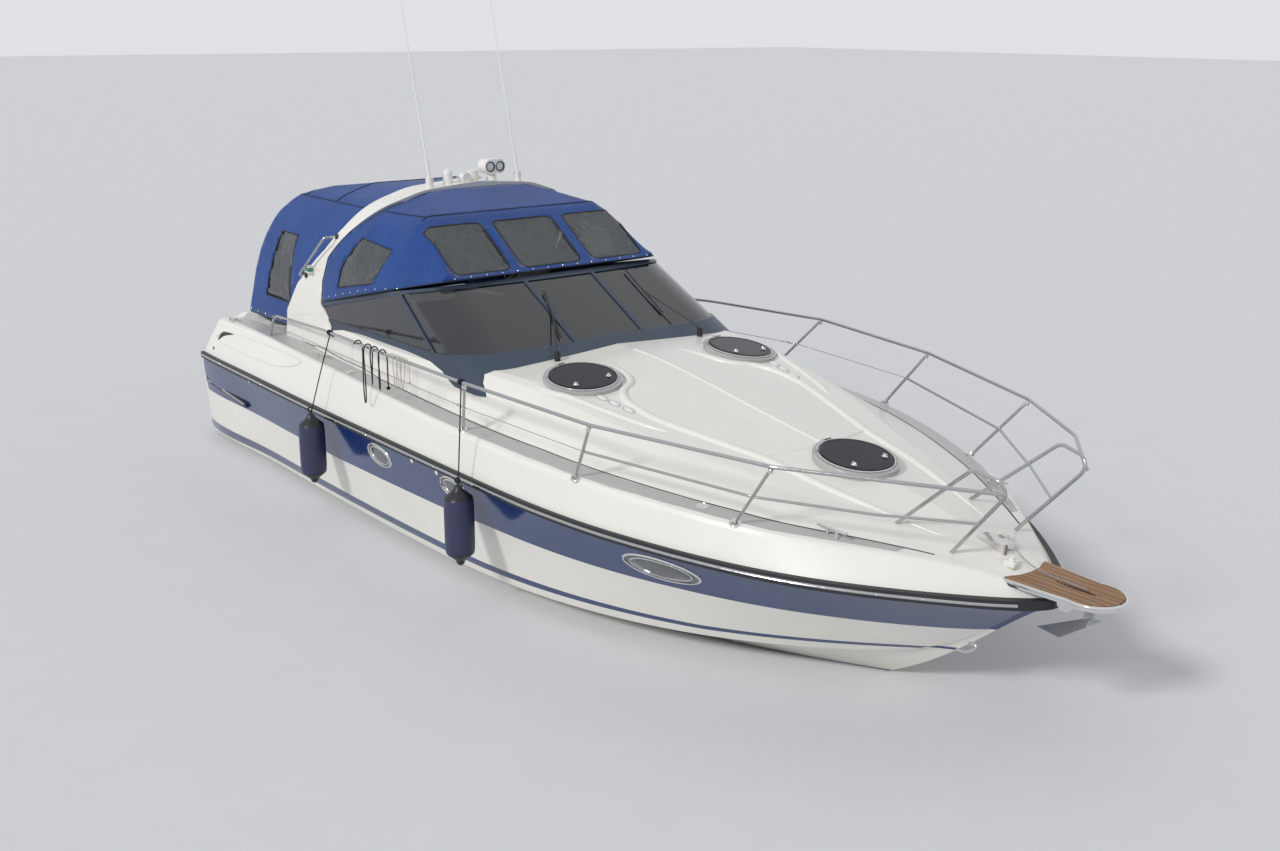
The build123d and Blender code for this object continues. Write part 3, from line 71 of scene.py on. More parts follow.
Knots = Sequence[tuple[float, float]]
BOAT = "boat"
COVERS = ("canopy_front", "canopy_aft", "canopy_windows")
# Planks are counted across the boat from a place well past its side.
PLANKS_PER_METRE = 19.0
PLANK_START = 10.0
SEAM_SHARE = 0.1
# A wave texture takes its scale as the count of grains over this.
WAVE_SCALE = 6.3


class Grain(Enum):
    """The fine structure that a finish shows close up."""

    MOULDED = "moulded"
    BRUSHED = "brushed"
    WOVEN = "woven"
    CAST = "cast"
    TREAD = "tread"
    PLANKED = "planked"
    HIDE = "hide"
    SPANGLED = "spangled"
    LAID = "laid"
    CRAZED = "crazed"


class NodeGraph:
    """Writes a shader or geometry tree from left to right."""

    def __init__(self, tree: bpy.types.NodeTree) -> None:
        """Starts with the empty tree.

        Args:
            tree: The node tree that is filled.
        """
        self.tree = tree
        self.tree.nodes.clear()

    def add(self, kind: str, inputs: dict | None = None, **props: object) -> bpy.types.Node:
        """Adds a node, sets its properties and fills or links its inputs.

        Args:
            kind: The node's type name.
            inputs: Values or output sockets by input name or number.
            **props: Properties of the node itself.

        Returns:
            The new node.
        """
        node = self.tree.nodes.new(kind)
        node.location = (len(self.tree.nodes) * 60, 0)
        for key, value in props.items():
            setattr(node, key, value)
        for key, value in (inputs or {}).items():
            self.feed(value, node.inputs[key])
        return node

    def feed(self, value: object, target: bpy.types.NodeSocket) -> None:
        """Links a socket to a target, or writes a plain value into it."""
        if isinstance(value, bpy.types.NodeSocket):
            self.tree.links.new(value, target)
        else:
            target.default_value = value

    def math(self, operation: str, first: object, second: object = 0.0, third: object = 0.0) -> object:
        """Adds a math node and returns its output."""
        return self.add("ShaderNodeMath", {0: first, 1: second, 2: third}, operation=operation).outputs[0]

    def times(self, first: object, second: object) -> object:
        """Multiplies two values and returns the result's socket."""
        return self.math("MULTIPLY", first, second)

    def plus(self, first: object, second: object) -> object:
        """Adds two values and returns the result's socket."""
        return self.math("ADD", first, second)

    def noise(self, place: object, scale: float, detail: float, **more: float) -> object:
        """Adds a noise texture and returns its socket."""
        return self.add("ShaderNodeTexNoise", {"Vector": place, "Scale": scale, "Detail": detail, **more}).outputs[0]

    def mapped(self, place: object, **more: tuple[float, float, float]) -> object:
        """Stretches or turns coordinates and returns their socket."""
        return self.add("ShaderNodeMapping", {"Vector": place, **more}).outputs[0]

    def parts(self, place: object) -> Sequence[bpy.types.NodeSocket]:
        """Takes coordinates apart: along, across and up."""
        return self.add("ShaderNodeSeparateXYZ", {0: place}).outputs

    def mix(self, share: object, first: object, second: object) -> object:
        """Mixes two colours and returns the result's socket."""
        node = self.add("ShaderNodeMix", data_type="RGBA")
        for number, value in ((0, share), (6, first), (7, second)):
            self.feed(value, node.inputs[number])
        return node.outputs[2]

    def span(self, value: object, low: float, high: float, to_low: float, to_high: float) -> object:
        """Maps a value from one range to another, held at the ends."""
        names = {"Value": value, "From Min": low, "From Max": high, "To Min": to_low, "To Max": to_high}
        return self.add("ShaderNodeMapRange", names).outputs[0]

    def curve(self, value: object, knots: Knots, reach: float) -> object:
        """Follows a line of knots whose heights are shares of a reach.

        Args:
            value: The socket read along the line.
            knots: Pairs of place and height, both in metres.
            reach: The greatest height in the line.

        Returns:
            The socket of the height in metres.
        """
        low, high = knots[0][0], knots[-1][0]
        ramp = self.add("ShaderNodeValToRGB", {0: self.span(value, low, high, 0, 1)})
        stops = ramp.color_ramp.elements
        while len(stops) < len(knots):
            stops.new(0.5)
        for stop, (place, height) in zip(stops, knots):
            stop.position = (place - low) / (high - low)
            stop.color = (height / reach,) * 3 + (1,)
        return self.math("MULTIPLY", ramp.outputs[0], reach)


def around(count: int) -> list[float]:
    """Returns the angles of an even round, in radians."""
    return [2 * math.pi * n / count for n in range(count)]


def circle(middle: Vector, fore: Vector, side: Vector, radius: float, count: int) -> list[Vector]:
    """Returns the points of an even circle in the plane of two directions."""
    return [middle + (fore * math.cos(a) + side * math.sin(a)) * radius for a in around(count)]


def link(made: bpy.types.Object) -> None:
    """Puts an object into the scene."""
    bpy.context.scene.collection.objects.link(made)


def level(knots: Knots, x: float) -> float:
    """Gives the height at a place on a line of knots, held at its far end."""
    for (a, low), (b, high) in zip(knots, knots[1:]):
        if x <= b:
            return low + (high - low) * (x - a) / (b - a)
    return knots[-1][1]


def shade(colour: Colour, by: float) -> tuple[float, float, float, float]:
    """Returns a colour made lighter or darker by a factor, with full alpha."""
    return tuple(min(1.0, part * by) for part in colour) + (1.0,)


@dataclass(frozen=True)
class Finish:
    """One surface finish, with sizes in metres and grains counted per metre."""

    name: str
    colour: Colour
    rough: float = 0.4
    metal: float = 0.0
    coat: float = 0.0
    sheen: float = 0.0
    alpha: float = 1.0
    grain: Grain = Grain.MOULDED
    per_metre: float = 300.0
    depth: float = 0.0004
    mottle: float = 0.05
    specular: float = 0.5
    grit: float = 0.3
    uneven: float = 0.07

    def material(self) -> bpy.types.Material:
        """Makes the finish's material once and returns it afterwards.

        Returns:
            The material with its colour, roughness and relief nodes.
        """
        found = bpy.data.materials.get("finish_" + self.name)
        if found:
            return found
        made = bpy.data.materials.new("finish_" + self.name)
        made.use_nodes = True
        graph = NodeGraph(made.node_tree)
        place = graph.add("ShaderNodeTexCoord").outputs["Object"]
        shader = graph.add("ShaderNodeBsdfPrincipled")
        settings = {"Metallic": self.metal, "Coat Weight": self.coat, "Coat Roughness": 0.06}
        settings.update({"Sheen Weight": self.sheen, "Alpha": self.alpha, "Specular IOR Level": self.specular})
        for key, value in settings.items():
            shader.inputs[key].default_value = value
        cloud = graph.noise(place, 2.3, 5.0, Roughness=0.6)
        speck = graph.noise(place, 37.0, 4.0, Roughness=0.7)
        colour = self.paint(graph, place)
        blend = graph.plus(graph.times(cloud, 0.65), graph.times(speck, 0.35))
        tone = graph.span(blend, 0.35, 0.65, 1 - self.mottle, 1 + self.mottle)
        toned = graph.add("ShaderNodeMix", data_type="RGBA", blend_type="MULTIPLY")
        toned.inputs[0].default_value = 1.0
        graph.feed(colour, toned.inputs[6])
        graph.tree.links.new(tone, toned.inputs[7])
        graph.tree.links.new(toned.outputs[2], shader.inputs["Base Color"])
        sheen = graph.span(speck, 0.3, 0.7, max(0.02, self.rough - self.uneven), min(1.0, self.rough + self.uneven))
        graph.tree.links.new(sheen, shader.inputs["Roughness"])
        height = self.relief(graph, place)
        bump = graph.add("ShaderNodeBump", {"Height": height, "Distance": self.depth, "Strength": 1.0})
        graph.tree.links.new(bump.outputs[0], shader.inputs["Normal"])
        out = graph.add("ShaderNodeOutputMaterial")
        graph.tree.links.new(shader.outputs[0], out.inputs[0])
        return made

    @staticmethod
    def planks(graph: NodeGraph, place: object) -> object:
        """Counts the planks across the boat, with the share of the way to the next seam."""
        across = graph.parts(place)[1]
        return graph.times(graph.plus(across, PLANK_START), PLANKS_PER_METRE)

    def paint(self, graph: NodeGraph, place: object) -> object:
        """Gives the base colour before it is mottled.

        Args:
            graph: The tree being written.
            place: The socket of the object's coordinates.

        Returns:
            A colour, or the socket of one.
        """
        if self.grain is Grain.PLANKED:
            count = self.planks(graph, place)
            caulk = graph.math("LESS_THAN", graph.math("FRACT", count), SEAM_SHARE)
            stretch = graph.mapped(place, Scale=(3.0, 60.0, 60.0))
            figure = graph.noise(stretch, 1.6, 6.0)
            number = graph.add("ShaderNodeCombineXYZ", {1: graph.math("FLOOR", count)}).outputs[0]
            plank = graph.add("ShaderNodeTexWhiteNoise", {"Vector": number}).outputs[0]
            wood = graph.mix(graph.span(figure, 0.35, 0.65, 0, 1), shade(self.colour, 0.72), shade(self.colour, 1.18))
            wood = graph.mix(graph.times(plank, 0.35), wood, shade(self.colour, 0.6))
            return graph.mix(caulk, wood, (0.02, 0.02, 0.02, 1))
        if self.grain is Grain.SPANGLED:
            flake = graph.add("ShaderNodeTexVoronoi", {"Vector": place, "Scale": self.per_metre}).outputs["Color"]
            grey = graph.add("ShaderNodeRGBToBW", {0: flake}).outputs[0]
            return graph.mix(grey, shade(self.colour, 0.8), shade(self.colour, 1.15))
        return self.colour + (1.0,)

    def relief(self, graph: NodeGraph, place: object) -> object:
        """Gives the height that the bump follows.

        Args:
            graph: The tree being written.
            place: The socket of the object's coordinates.

        Returns:
            The socket of the height.
        """
        scale = self.per_metre
        if self.grain is Grain.WOVEN:
            waves = []
            for axis in ("X", "Y", "Z"):
                wave = graph.add("ShaderNodeTexWave", {"Vector": place, "Scale": scale / WAVE_SCALE, "Distortion": 0.4},
                    bands_direction=axis)
                waves.append(wave.outputs[1])
            fold = graph.noise(place, 5.0, 3.0, Distortion=0.8)
            thread = graph.plus(graph.times(waves[0], waves[1]), waves[2])
            return graph.plus(graph.times(thread, 0.25), graph.times(fold, 6.0))
        if self.grain is Grain.BRUSHED:
            stretch = graph.mapped(place, Scale=(0.05, 1.0, 1.0))
            return graph.noise(stretch, scale, 2.0)
        if self.grain in (Grain.TREAD, Grain.HIDE):
            cells = graph.add("ShaderNodeTexVoronoi", {"Vector": place, "Scale": scale}, feature="DISTANCE_TO_EDGE")
            return graph.span(cells.outputs[0], 0.0, 0.12, 0.0, 1.0)
        if self.grain is Grain.PLANKED:
            seam = graph.math("FRACT", self.planks(graph, place))
            stretch = graph.mapped(place, Scale=(4.0, 90.0, 90.0))
            fibre = graph.noise(stretch, 2.0, 5.0)
            return graph.plus(graph.math("GREATER_THAN", seam, SEAM_SHARE), graph.times(fibre, 0.8))
        if self.grain is Grain.LAID:
            turn = graph.mapped(place, Rotation=(0.6, 0.6, 0.6))
            return graph.add(
                "ShaderNodeTexWave", {"Vector": turn, "Scale": scale / WAVE_SCALE, "Distortion": 0.6}).outputs[1]
        if self.grain is Grain.CRAZED:
            pull = graph.mapped(place, Scale=(1.0, 2.6, 1.3), Rotation=(0.4, 0.3, 0.2))
            return graph.noise(pull, scale, 2.0, Distortion=1.6)
        grains = graph.noise(place, scale, 3.0)
        if self.grain is Grain.CAST:
            coarse = graph.noise(place, scale / 6, 2.0)
            return graph.plus(grains, graph.times(coarse, 2.0))
        wave = graph.noise(place, 1.7, 1.0)
        return graph.plus(graph.times(grains, self.grit), graph.times(wave, 4.0))


@dataclass(frozen=True)
class HullPaint(Finish):
    """The topsides: warm white, a navy band under the rub rail, a boot stripe and antifouling."""

    band: Colour = (0.007, 0.030, 0.135)
    band_edge: Knots = ((-4.7, 0.53), (-1.6, 0.56), (0.2, 0.61), (0.9, 0.64), (2.7, 0.645), (4.8, 0.61))
    stripe: Knots = ((-4.7, 0.125), (-1.0, 0.175), (0.6, 0.205), (1.5, 0.238), (2.65, 0.283), (3.3, 0.333),
        (3.85, 0.372), (4.2, 0.38))
    stripe_half: Knots = ((-4.7, 0.045), (0.0, 0.034), (2.0, 0.022), (4.2, 0.012))
    waterline: float = 0.02
    band_aft: float = -4.66
    stain: Colour = (0.42, 0.40, 0.30)
    stain_from: float = 0.04
    stain_to: float = 0.22
    stain_share: float = 0.55
    bottom: Colour = (0.018, 0.022, 0.035)

    def paint(self, graph: NodeGraph, place: object) -> object:
        """Lays the band, the stripe and the bottom paint over the white."""
        along, _, up = graph.parts(place)
        edge = graph.curve(along, self.band_edge, 1.0)
        band = graph.times(graph.math("GREATER_THAN", up, edge), graph.math("GREATER_THAN", along, self.band_aft))
        white = graph.mix(band, self.colour + (1.0,), self.band + (1.0,))
        middle = graph.curve(along, self.stripe, 1.0)
        half = graph.curve(along, self.stripe_half, 0.1)
        near = graph.math("LESS_THAN", graph.math("ABSOLUTE", graph.math("SUBTRACT", up, middle)), half)
        striped = graph.mix(near, white, self.band + (1.0,))
        cloud = graph.noise(place, 6.0, 6.0)
        scum = graph.times(graph.span(up, self.stain_from, self.stain_to, self.stain_share, 0.0), cloud)
        aged = graph.mix(scum, striped, self.stain + (1.0,))
        return graph.mix(graph.math("LESS_THAN", up, self.waterline), aged, self.bottom + (1.0,))


@dataclass(frozen=True)
class DeckMoulding(Finish):
    """The deck: warm white with grey tread panels along the side decks."""

    tread: Colour = (0.50, 0.50, 0.49)
    tread_ends: tuple[float, float] = (-4.15, 4.05)
    tread_above: float = 1.18
    tread_scale: float = 260.0
    tread_depth: float = 3.0
    outer: Knots = ((-4.15, 1.37), (-3.3, 1.422), (-2.3, 1.474), (-0.6, 1.574), (0.2, 1.606), (0.9, 1.614),
        (1.45, 1.598), (1.9, 1.556), (2.3, 1.475), (2.7, 1.352), (3.05, 1.215), (3.4, 1.056), (3.9, 0.715), (4.2, 0.49))
    inner: Knots = ((-4.15, 1.155), (-3.67, 1.19), (-2.77, 1.29), (-1.92, 1.352), (-0.6, 1.437), (0.2, 1.472),
        (0.9, 1.481), (1.45, 1.462), (1.9, 1.42), (2.3, 1.337), (2.7, 1.214), (3.05, 1.075), (3.4, 0.918),
        (3.9, 0.622), (4.2, 0.43))

    def zone(self, graph: NodeGraph, place: object) -> object:
        """Gives 1 on the tread panels and 0 elsewhere."""
        along, across, up = graph.parts(place)
        side = graph.math("ABSOLUTE", across)
        within = graph.math("LESS_THAN", side, graph.curve(along, self.outer, 2.0))
        beyond = graph.math("GREATER_THAN", side, graph.curve(along, self.inner, 2.0))
        ends = graph.times(graph.math("GREATER_THAN", along, self.tread_ends[0]),
            graph.math("LESS_THAN", along, self.tread_ends[1]))
        flat = graph.math("GREATER_THAN", up, self.tread_above)
        return graph.times(graph.times(within, beyond), graph.times(ends, flat))

    def paint(self, graph: NodeGraph, place: object) -> object:
        """Lays the grey tread over the white."""
        return graph.mix(self.zone(graph, place), self.colour + (1.0,), self.tread + (1.0,))

    def relief(self, graph: NodeGraph, place: object) -> object:
        """Adds the diamond tread on the panels to the fair moulded face."""
        base = super().relief(graph, place)
        cells = graph.add("ShaderNodeTexVoronoi", {"Vector": place, "Scale": self.tread_scale}).outputs[0]
        return graph.plus(base, graph.times(graph.times(cells, self.zone(graph, place)), self.tread_depth))


WHITE = (0.80, 0.78, 0.72)
HULL = HullPaint("hull", WHITE, rough=0.16, coat=0.5, depth=0.0007, mottle=0.03, grit=0.008, uneven=0.02)
DECK = DeckMoulding("deck", (0.82, 0.80, 0.75), rough=0.30, coat=0.2, depth=0.0006, mottle=0.022,
    grit=0.012, uneven=0.03)
GELCOAT = Finish("gelcoat", (0.82, 0.80, 0.75), rough=0.28, coat=0.25, depth=0.0005, mottle=0.022,
    grit=0.012, uneven=0.03)
LINER = Finish("liner", (0.74, 0.71, 0.64), rough=0.45, grain=Grain.TREAD, per_metre=240, depth=0.0003)
RUBBER = Finish("rubber", (0.020, 0.021, 0.024), rough=0.5, per_metre=500, mottle=0.2)
TEAK = Finish("teak", (0.36, 0.20, 0.10), rough=0.62, grain=Grain.PLANKED, depth=0.0012, mottle=0.1)
SMOKED = Finish("smoked", (0.02, 0.022, 0.026), rough=0.08, alpha=0.86, coat=0.6, mottle=0.1)
ENGINE = Finish("engine", (0.16, 0.17, 0.18), rough=0.42, grain=Grain.CAST, per_metre=260, depth=0.0006)
BED = Finish("bed", (0.42, 0.40, 0.36), rough=0.6, grain=Grain.CAST, per_metre=120)
DRIVE = Finish("drive", (0.045, 0.047, 0.052), rough=0.38, coat=0.2, grain=Grain.CAST, per_metre=300)
BRONZE = Finish("propeller", (0.46, 0.33, 0.16), rough=0.3, metal=1.0, grain=Grain.CAST, per_metre=220)
STEEL = Finish("steel", (0.50, 0.50, 0.50), rough=0.16, metal=1.0, grain=Grain.BRUSHED, per_metre=700, depth=0.00006)
CHROME = Finish("chrome", (0.76, 0.76, 0.75), rough=0.09, metal=1.0, grain=Grain.BRUSHED, per_metre=500, depth=0.00004)
SCREEN = Finish("screen", (0.050, 0.070, 0.108), rough=0.33, metal=0.3, grain=Grain.BRUSHED,
    per_metre=400, depth=0.0001)
GLASS = Finish("glass", (0.016, 0.020, 0.023), rough=0.05, alpha=0.80, coat=0.9, depth=0.0003, mottle=0.1)
CANVAS = Finish("canvas", (0.011, 0.058, 0.25), rough=0.82, sheen=0.25, grain=Grain.WOVEN, per_metre=900, depth=0.0011,
    mottle=0.16, specular=0.2)
VINYL = Finish("vinyl", (0.060, 0.072, 0.082), rough=0.13, alpha=0.62, coat=0.8, grain=Grain.CRAZED, per_metre=7,
    depth=0.02, mottle=0.12)
SMOKED_VINYL = Finish("smoked_vinyl", (0.035, 0.042, 0.052), rough=0.16, alpha=0.78, coat=0.7, grain=Grain.CRAZED,
    per_metre=7, depth=0.016, mottle=0.12)
PIPING = Finish("piping", (0.012, 0.014, 0.022), rough=0.6, grain=Grain.LAID, per_metre=500)
HATCH = Finish("hatch", (0.006, 0.008, 0.014), rough=0.12, mottle=0.2, specular=0.18)
ZINC = Finish("zinc", (0.44, 0.45, 0.46), rough=0.48, metal=0.7, grain=Grain.SPANGLED, per_metre=110, depth=0.0005)
HIDE = Finish("hide", (0.035, 0.035, 0.04), rough=0.5, grain=Grain.HIDE, per_metre=420)
SEAT = Finish("seat", (0.72, 0.69, 0.61), rough=0.5, sheen=0.1, grain=Grain.HIDE, per_metre=380, depth=0.0003)
WELT = Finish("welt", (0.03, 0.06, 0.20), rough=0.55, grain=Grain.LAID, per_metre=400)
PLASTIC = Finish("white_plastic", (0.80, 0.79, 0.76), rough=0.36, per_metre=500)
BLACK = Finish("black_plastic", (0.018, 0.018, 0.020), rough=0.42, per_metre=600, mottle=0.15)
FENDER = Finish("fender", (0.030, 0.034, 0.085), rough=0.45, per_metre=300, mottle=0.12, depth=0.0008)
FENDER_END = Finish("fender_end", (0.012, 0.012, 0.018), rough=0.4, per_metre=300)
ROPE = Finish("rope", (0.016, 0.017, 0.022), rough=0.85, grain=Grain.LAID, per_metre=220, depth=0.0012, mottle=0.25)
CORD = Finish("cord", (0.50, 0.46, 0.38), rough=0.8, grain=Grain.LAID, per_metre=300, depth=0.0006, mottle=0.2)
SEALANT = Finish("sealant", (0.030, 0.032, 0.036), rough=0.55, per_metre=300)
PANEL = Finish("panel", (0.03, 0.032, 0.036), rough=0.35, grain=Grain.HIDE, per_metre=600)
LENS = Finish("lens", (0.62, 0.66, 0.68), rough=0.06, coat=0.8, grain=Grain.BRUSHED, per_metre=260, depth=0.0004)
GREEN_LENS = Finish("green_lens", (0.01, 0.22, 0.10), rough=0.08, coat=0.8, per_metre=200)
RED_LENS = Finish("red_lens", (0.40, 0.012, 0.01), rough=0.08, coat=0.8, per_metre=200)
SMOKED_GLASS = Finish("port_glass", (0.05, 0.06, 0.065), rough=0.06, coat=0.9, depth=0.0003, mottle=0.3)
GREY = Finish("grey_mould", (0.46, 0.46, 0.45), rough=0.5, grain=Grain.TREAD, per_metre=260)

NODE_FINISH: dict[str, Finish] = {
    "hull": HULL, "deck": DECK, "cockpit_liner": LINER, "engine_hatch": LINER, "transom_gate": GELCOAT,
    "arch": GELCOAT, "helm_console": GELCOAT, "cockpit_seats": GELCOAT, "rub_rail": RUBBER, "quarter_bumpers": RUBBER,
    "platform_teak": TEAK, "bow_platform_teak": TEAK, "companion_door": SMOKED, "engines": ENGINE, "engine_beds": BED,
    "transom_shields": DRIVE, "drive_port": DRIVE, "drive_starboard": DRIVE, "propeller_port": BRONZE,
    "propeller_starboard": BRONZE, "trim_tabs": STEEL, "canopy_hoops": STEEL, "rail_port": STEEL,
    "rail_starboard": STEEL,
    "bow_platform": CHROME, "cleats": CHROME, "windlass": CHROME, "arch_handles": STEEL, "ladder_brackets": STEEL,
    "ladder": STEEL, "hatch_frames": GREY, "door_track": STEEL, "hinges": CHROME, "windscreen_frame": SCREEN,
    "windscreen_glass": GLASS, "canopy_front": CANVAS, "canopy_aft": CANVAS, "canopy_windows": VINYL,
    "hatch_lid_port": HATCH, "hatch_lid_starboard": HATCH, "hatch_lid_fore": HATCH, "anchor": ZINC, "helm_wheel": HIDE,
    "cockpit_cushions": SEAT, "aerials": PLASTIC, "arch_instruments": PLASTIC, "searchlight_base": PLASTIC,
    "searchlight": PLASTIC, "side_lights": PLASTIC, "wipers": BLACK, "fenders": FENDER,
}


def spline(points: Sequence[Point], steps: int = 8, closed: bool = False) -> list[Vector]:
    """Draws a smooth line through points.

    Args:
        points: The points it goes through.
        steps: Pieces between two points.
        closed: Whether the last point joins the first.

    Returns:
        The points of the smooth line.
    """
    knots = [Vector(p) for p in points]
    count = len(knots)
    line = []
    for n in range(count if closed else count - 1):
        before = knots[(n - 1) % count] if closed or n > 0 else knots[0] * 2 - knots[1]
        after = knots[(n + 2) % count] if closed or n + 2 < count else knots[-1] * 2 - knots[-2]
        start, end = knots[n], knots[(n + 1) % count]
        for k in range(steps):
            t = k / steps
            bend = (end - before) * t + (before * 2 - start * 5 + end * 4 - after) * t * t
            line.append(start + (bend + (start * 3 - before - end * 3 + after) * t * t * t) * 0.5)
    if not closed:
        line.append(knots[-1])
    return line


class Shape:
    """A mesh in the making, in metres and in the boat's own frame."""

    def __init__(self) -> None:
        """Starts with nothing."""
        self.bm = bmesh.new()

    def ring(self, points: Iterable[Vector]) -> list[bmesh.types.BMVert]:
        """Adds loose vertices and returns them."""
        return [self.bm.verts.new(p) for p in points]

    def skin(self, rings: Sequence[Sequence[bmesh.types.BMVert]], closed: bool = False, ends: bool = True) -> None:
        """Joins rings of equal count into a skin.

        Args:
            rings: The rings in order.
            closed: Whether the last ring joins the first.
            ends: Whether the two open ends are filled.
        """
        pairs = list(zip(rings, rings[1:]))
        if closed:
            pairs.append((rings[-1], rings[0]))
        for a, b in pairs:
            for n in range(len(a)):
                m = (n + 1) % len(a)
                self.bm.faces.new((a[n], a[m], b[m], b[n]))
        if ends and not closed:
            self.bm.faces.new(list(reversed(rings[0])))
            self.bm.faces.new(list(rings[-1]))

    def tube(self, points: Sequence[Point], radius: float | Sequence[float], sides: int = 10, closed: bool = False,
            flat: float = 1.0, up: Point | None = None) -> "Shape":
        """Sweeps a circle or an oval along a line.

        Args:
            points: The line.
            radius: One radius, or one for each point.
            sides: Sides of the circle.
            closed: Whether the line is a loop.
            flat: Height of the oval as a share of its width.
            up: The direction of the oval's height, or None to carry it along.

        Returns:
            This shape.
        """
        line = [Vector(p) for p in points]
        count = len(line)
        radii = [radius] * count if isinstance(radius, (int, float)) else list(radius)
        tangents = []
        for n in range(count):
            a = line[(n - 1) % count] if closed or n else line[0]
            b = line[(n + 1) % count] if closed or n + 1 < count else line[-1]
            tangents.append((b - a).normalized())
        side = tangents[0].orthogonal().normalized()
        rings = []
        for n, (p, t) in enumerate(zip(line, tangents)):
            side = (t.cross(Vector(up)) if up is not None else side - t * side.dot(t)).normalized()
            lift = t.cross(side)
            rings.append(self.ring(
                p + side * math.cos(a) * radii[n] + lift * math.sin(a) * radii[n] * flat for a in around(sides)))
        self.skin(rings, closed)
        return self

    def lathe(self, profile: Knots, at: Point, axis: Point = (0, 0, 1), sides: int = 28) -> "Shape":
        """Turns a profile round an axis.

        Args:
            profile: Pairs of radius and height along the axis, from one end to the other.
            at: Where height zero lies.
            axis: The axis.
            sides: Sides of the round.

        Returns:
            This shape.
        """
        up = Vector(axis).normalized()
        side = up.orthogonal().normalized()
        front = up.cross(side)
        rings = []
        for radius, height in profile:
            radius = max(radius, 1e-4)
            rings.append(self.ring(
                Vector(at) + up * height + (side * math.cos(a) + front * math.sin(a)) * radius for a in around(sides)))
        self.skin(rings)
        return self

    def block(self, centre: Point, size: Point, round_by: float = 0.004, turn: Matrix | None = None) -> "Shape":
        """Adds a box with rounded edges.

        Args:
            centre: Its middle.
            size: Its three sides.
            round_by: Radius of the edges.
            turn: A rotation about the middle.

        Returns:
            This shape.
        """
        place = Matrix.Translation(Vector(centre)) @ (turn.to_4x4() if turn else Matrix.Identity(4))
        made = bmesh.ops.create_cube(self.bm, size=1.0, matrix=place @ Matrix.Diagonal(Vector(size)).to_4x4())
        edges = list({e for v in made["verts"] for e in v.link_edges})
        bmesh.ops.bevel(self.bm, geom=edges, offset=round_by, segments=3, affect="EDGES", profile=0.5)
        return self

    def mesh(self, name: str) -> bpy.types.Mesh:
        """Turns the shape into a mesh and frees it."""
        made = bpy.data.meshes.new(name)
        self.bm.to_mesh(made)
        self.bm.free()
        return made

    def patch(self, rings: Sequence[Sequence[Vector]]) -> "Shape":
        """Fills a face from an outer ring through smaller rings to the middle one."""
        made = [self.ring(r) for r in rings]
        self.skin(made, ends=False)
        self.bm.faces.new(made[-1])
        return self


@dataclass
class Workshop:
    """Holds the frame, the finishes and the surfaces that pieces are laid on."""

    nodes: dict[str, bpy.types.Object]
    trees: dict[tuple[str, ...], BVHTree] = field(default_factory=dict)
    count: int = 0

    def dress(self) -> None:
        """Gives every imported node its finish."""
        for name, finish in NODE_FINISH.items():
            node = self.nodes[name]
            node.data.materials.clear()
            node.data.materials.append(finish.material())
        log.info("dressed %d nodes", len(NODE_FINISH))

    def tree(self, *names: str) -> BVHTree:
        """Gives the search tree over some nodes' faces."""
        if names not in self.trees:
            corners, faces = [], []
            for name in names:
                mesh = self.nodes[name].data
                faces += [[len(corners) + v for v in p.vertices] for p in mesh.polygons]
                corners += [v.co.copy() for v in mesh.vertices]
            self.trees[names] = BVHTree.FromPolygons(corners, faces)
        return self.trees[names]

    def cast(self, names: tuple[str, ...], start: Point, way: Point, lift: float = 0.0) -> tuple[Vector, Vector] | None:
        """Finds where a straight line first meets some nodes.

        Args:
            names: The nodes.
            start: Where the line starts.
            way: Its direction.
            lift: How far off the face the point is given.

        Returns:
            The point and the outward normal there, or None.
        """
        point, normal, _, _ = self.tree(*names).ray_cast(Vector(start), Vector(way).normalized())
        if point is None:
            return None
        if normal.dot(Vector(way)) > 0:
            normal = -normal
        return point + normal * lift, normal

    def down(self, x: float, y: float, names: tuple[str, ...] = ("deck",), lift: float = 0.0) -> tuple[Vector, Vector]:
        """Finds the face under a place, seen from above."""
        return self.cast(names, (x, y, 6.0), (0, 0, -1), lift) or (Vector((x, y, 1.3)), Vector((0, 0, 1)))

    def side(self, x: float, z: float, hand: int, names: tuple[str, ...] = ("hull",),
            lift: float = 0.0) -> tuple[Vector, Vector]:
        """Finds the face at a place, seen from the side."""
        return self.cast(names, (x, 4.0 * hand, z), (0, -hand, 0), lift) or (Vector((x, hand, z)), Vector((0, hand, 0)))

    def piece(self, name: str, shape: Shape, finish: Finish, body: str = BOAT,
            replaces: tuple[str, ...] = (), angle: float = 40.0) -> bpy.types.Object:
        """Turns a shape into a finished piece that rides on a body.

        Args:
            name: The piece's name.
            shape: Its mesh.
            finish: Its finish.
            body: The body it moves with.
            replaces: Nodes it stands for.
            angle: Edges sharper than this stay crisp, in degrees.

        Returns:
            The new object.
        """
        bmesh.ops.remove_doubles(shape.bm, verts=shape.bm.verts, dist=0.00002)
        bmesh.ops.recalc_face_normals(shape.bm, faces=shape.bm.faces)
        mesh = shape.mesh(name)
        mesh.shade_smooth()
        mesh.set_sharp_from_angle(angle=math.radians(angle))
        return self.adopt(bpy.data.objects.new(name, mesh), finish, body, replaces)

    def adopt(self, made: bpy.types.Object, finish: Finish, body: str = BOAT,
            replaces: tuple[str, ...] = ()) -> bpy.types.Object:
        """Links an object, dresses it and lets it ride on a body."""
        if made.name not in bpy.context.scene.collection.objects:
            link(made)
        made.data.materials.clear()
        made.data.materials.append(finish.material())
        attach(made, body)
        if replaces:
            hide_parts(*replaces)
        self.count += 1
        log.info("%s: %s on %s", made.name, finish.name, body)
        return made


class Bead(Enum):
    """What a row repeats."""

    DOME = "dome"
    LINK = "link"


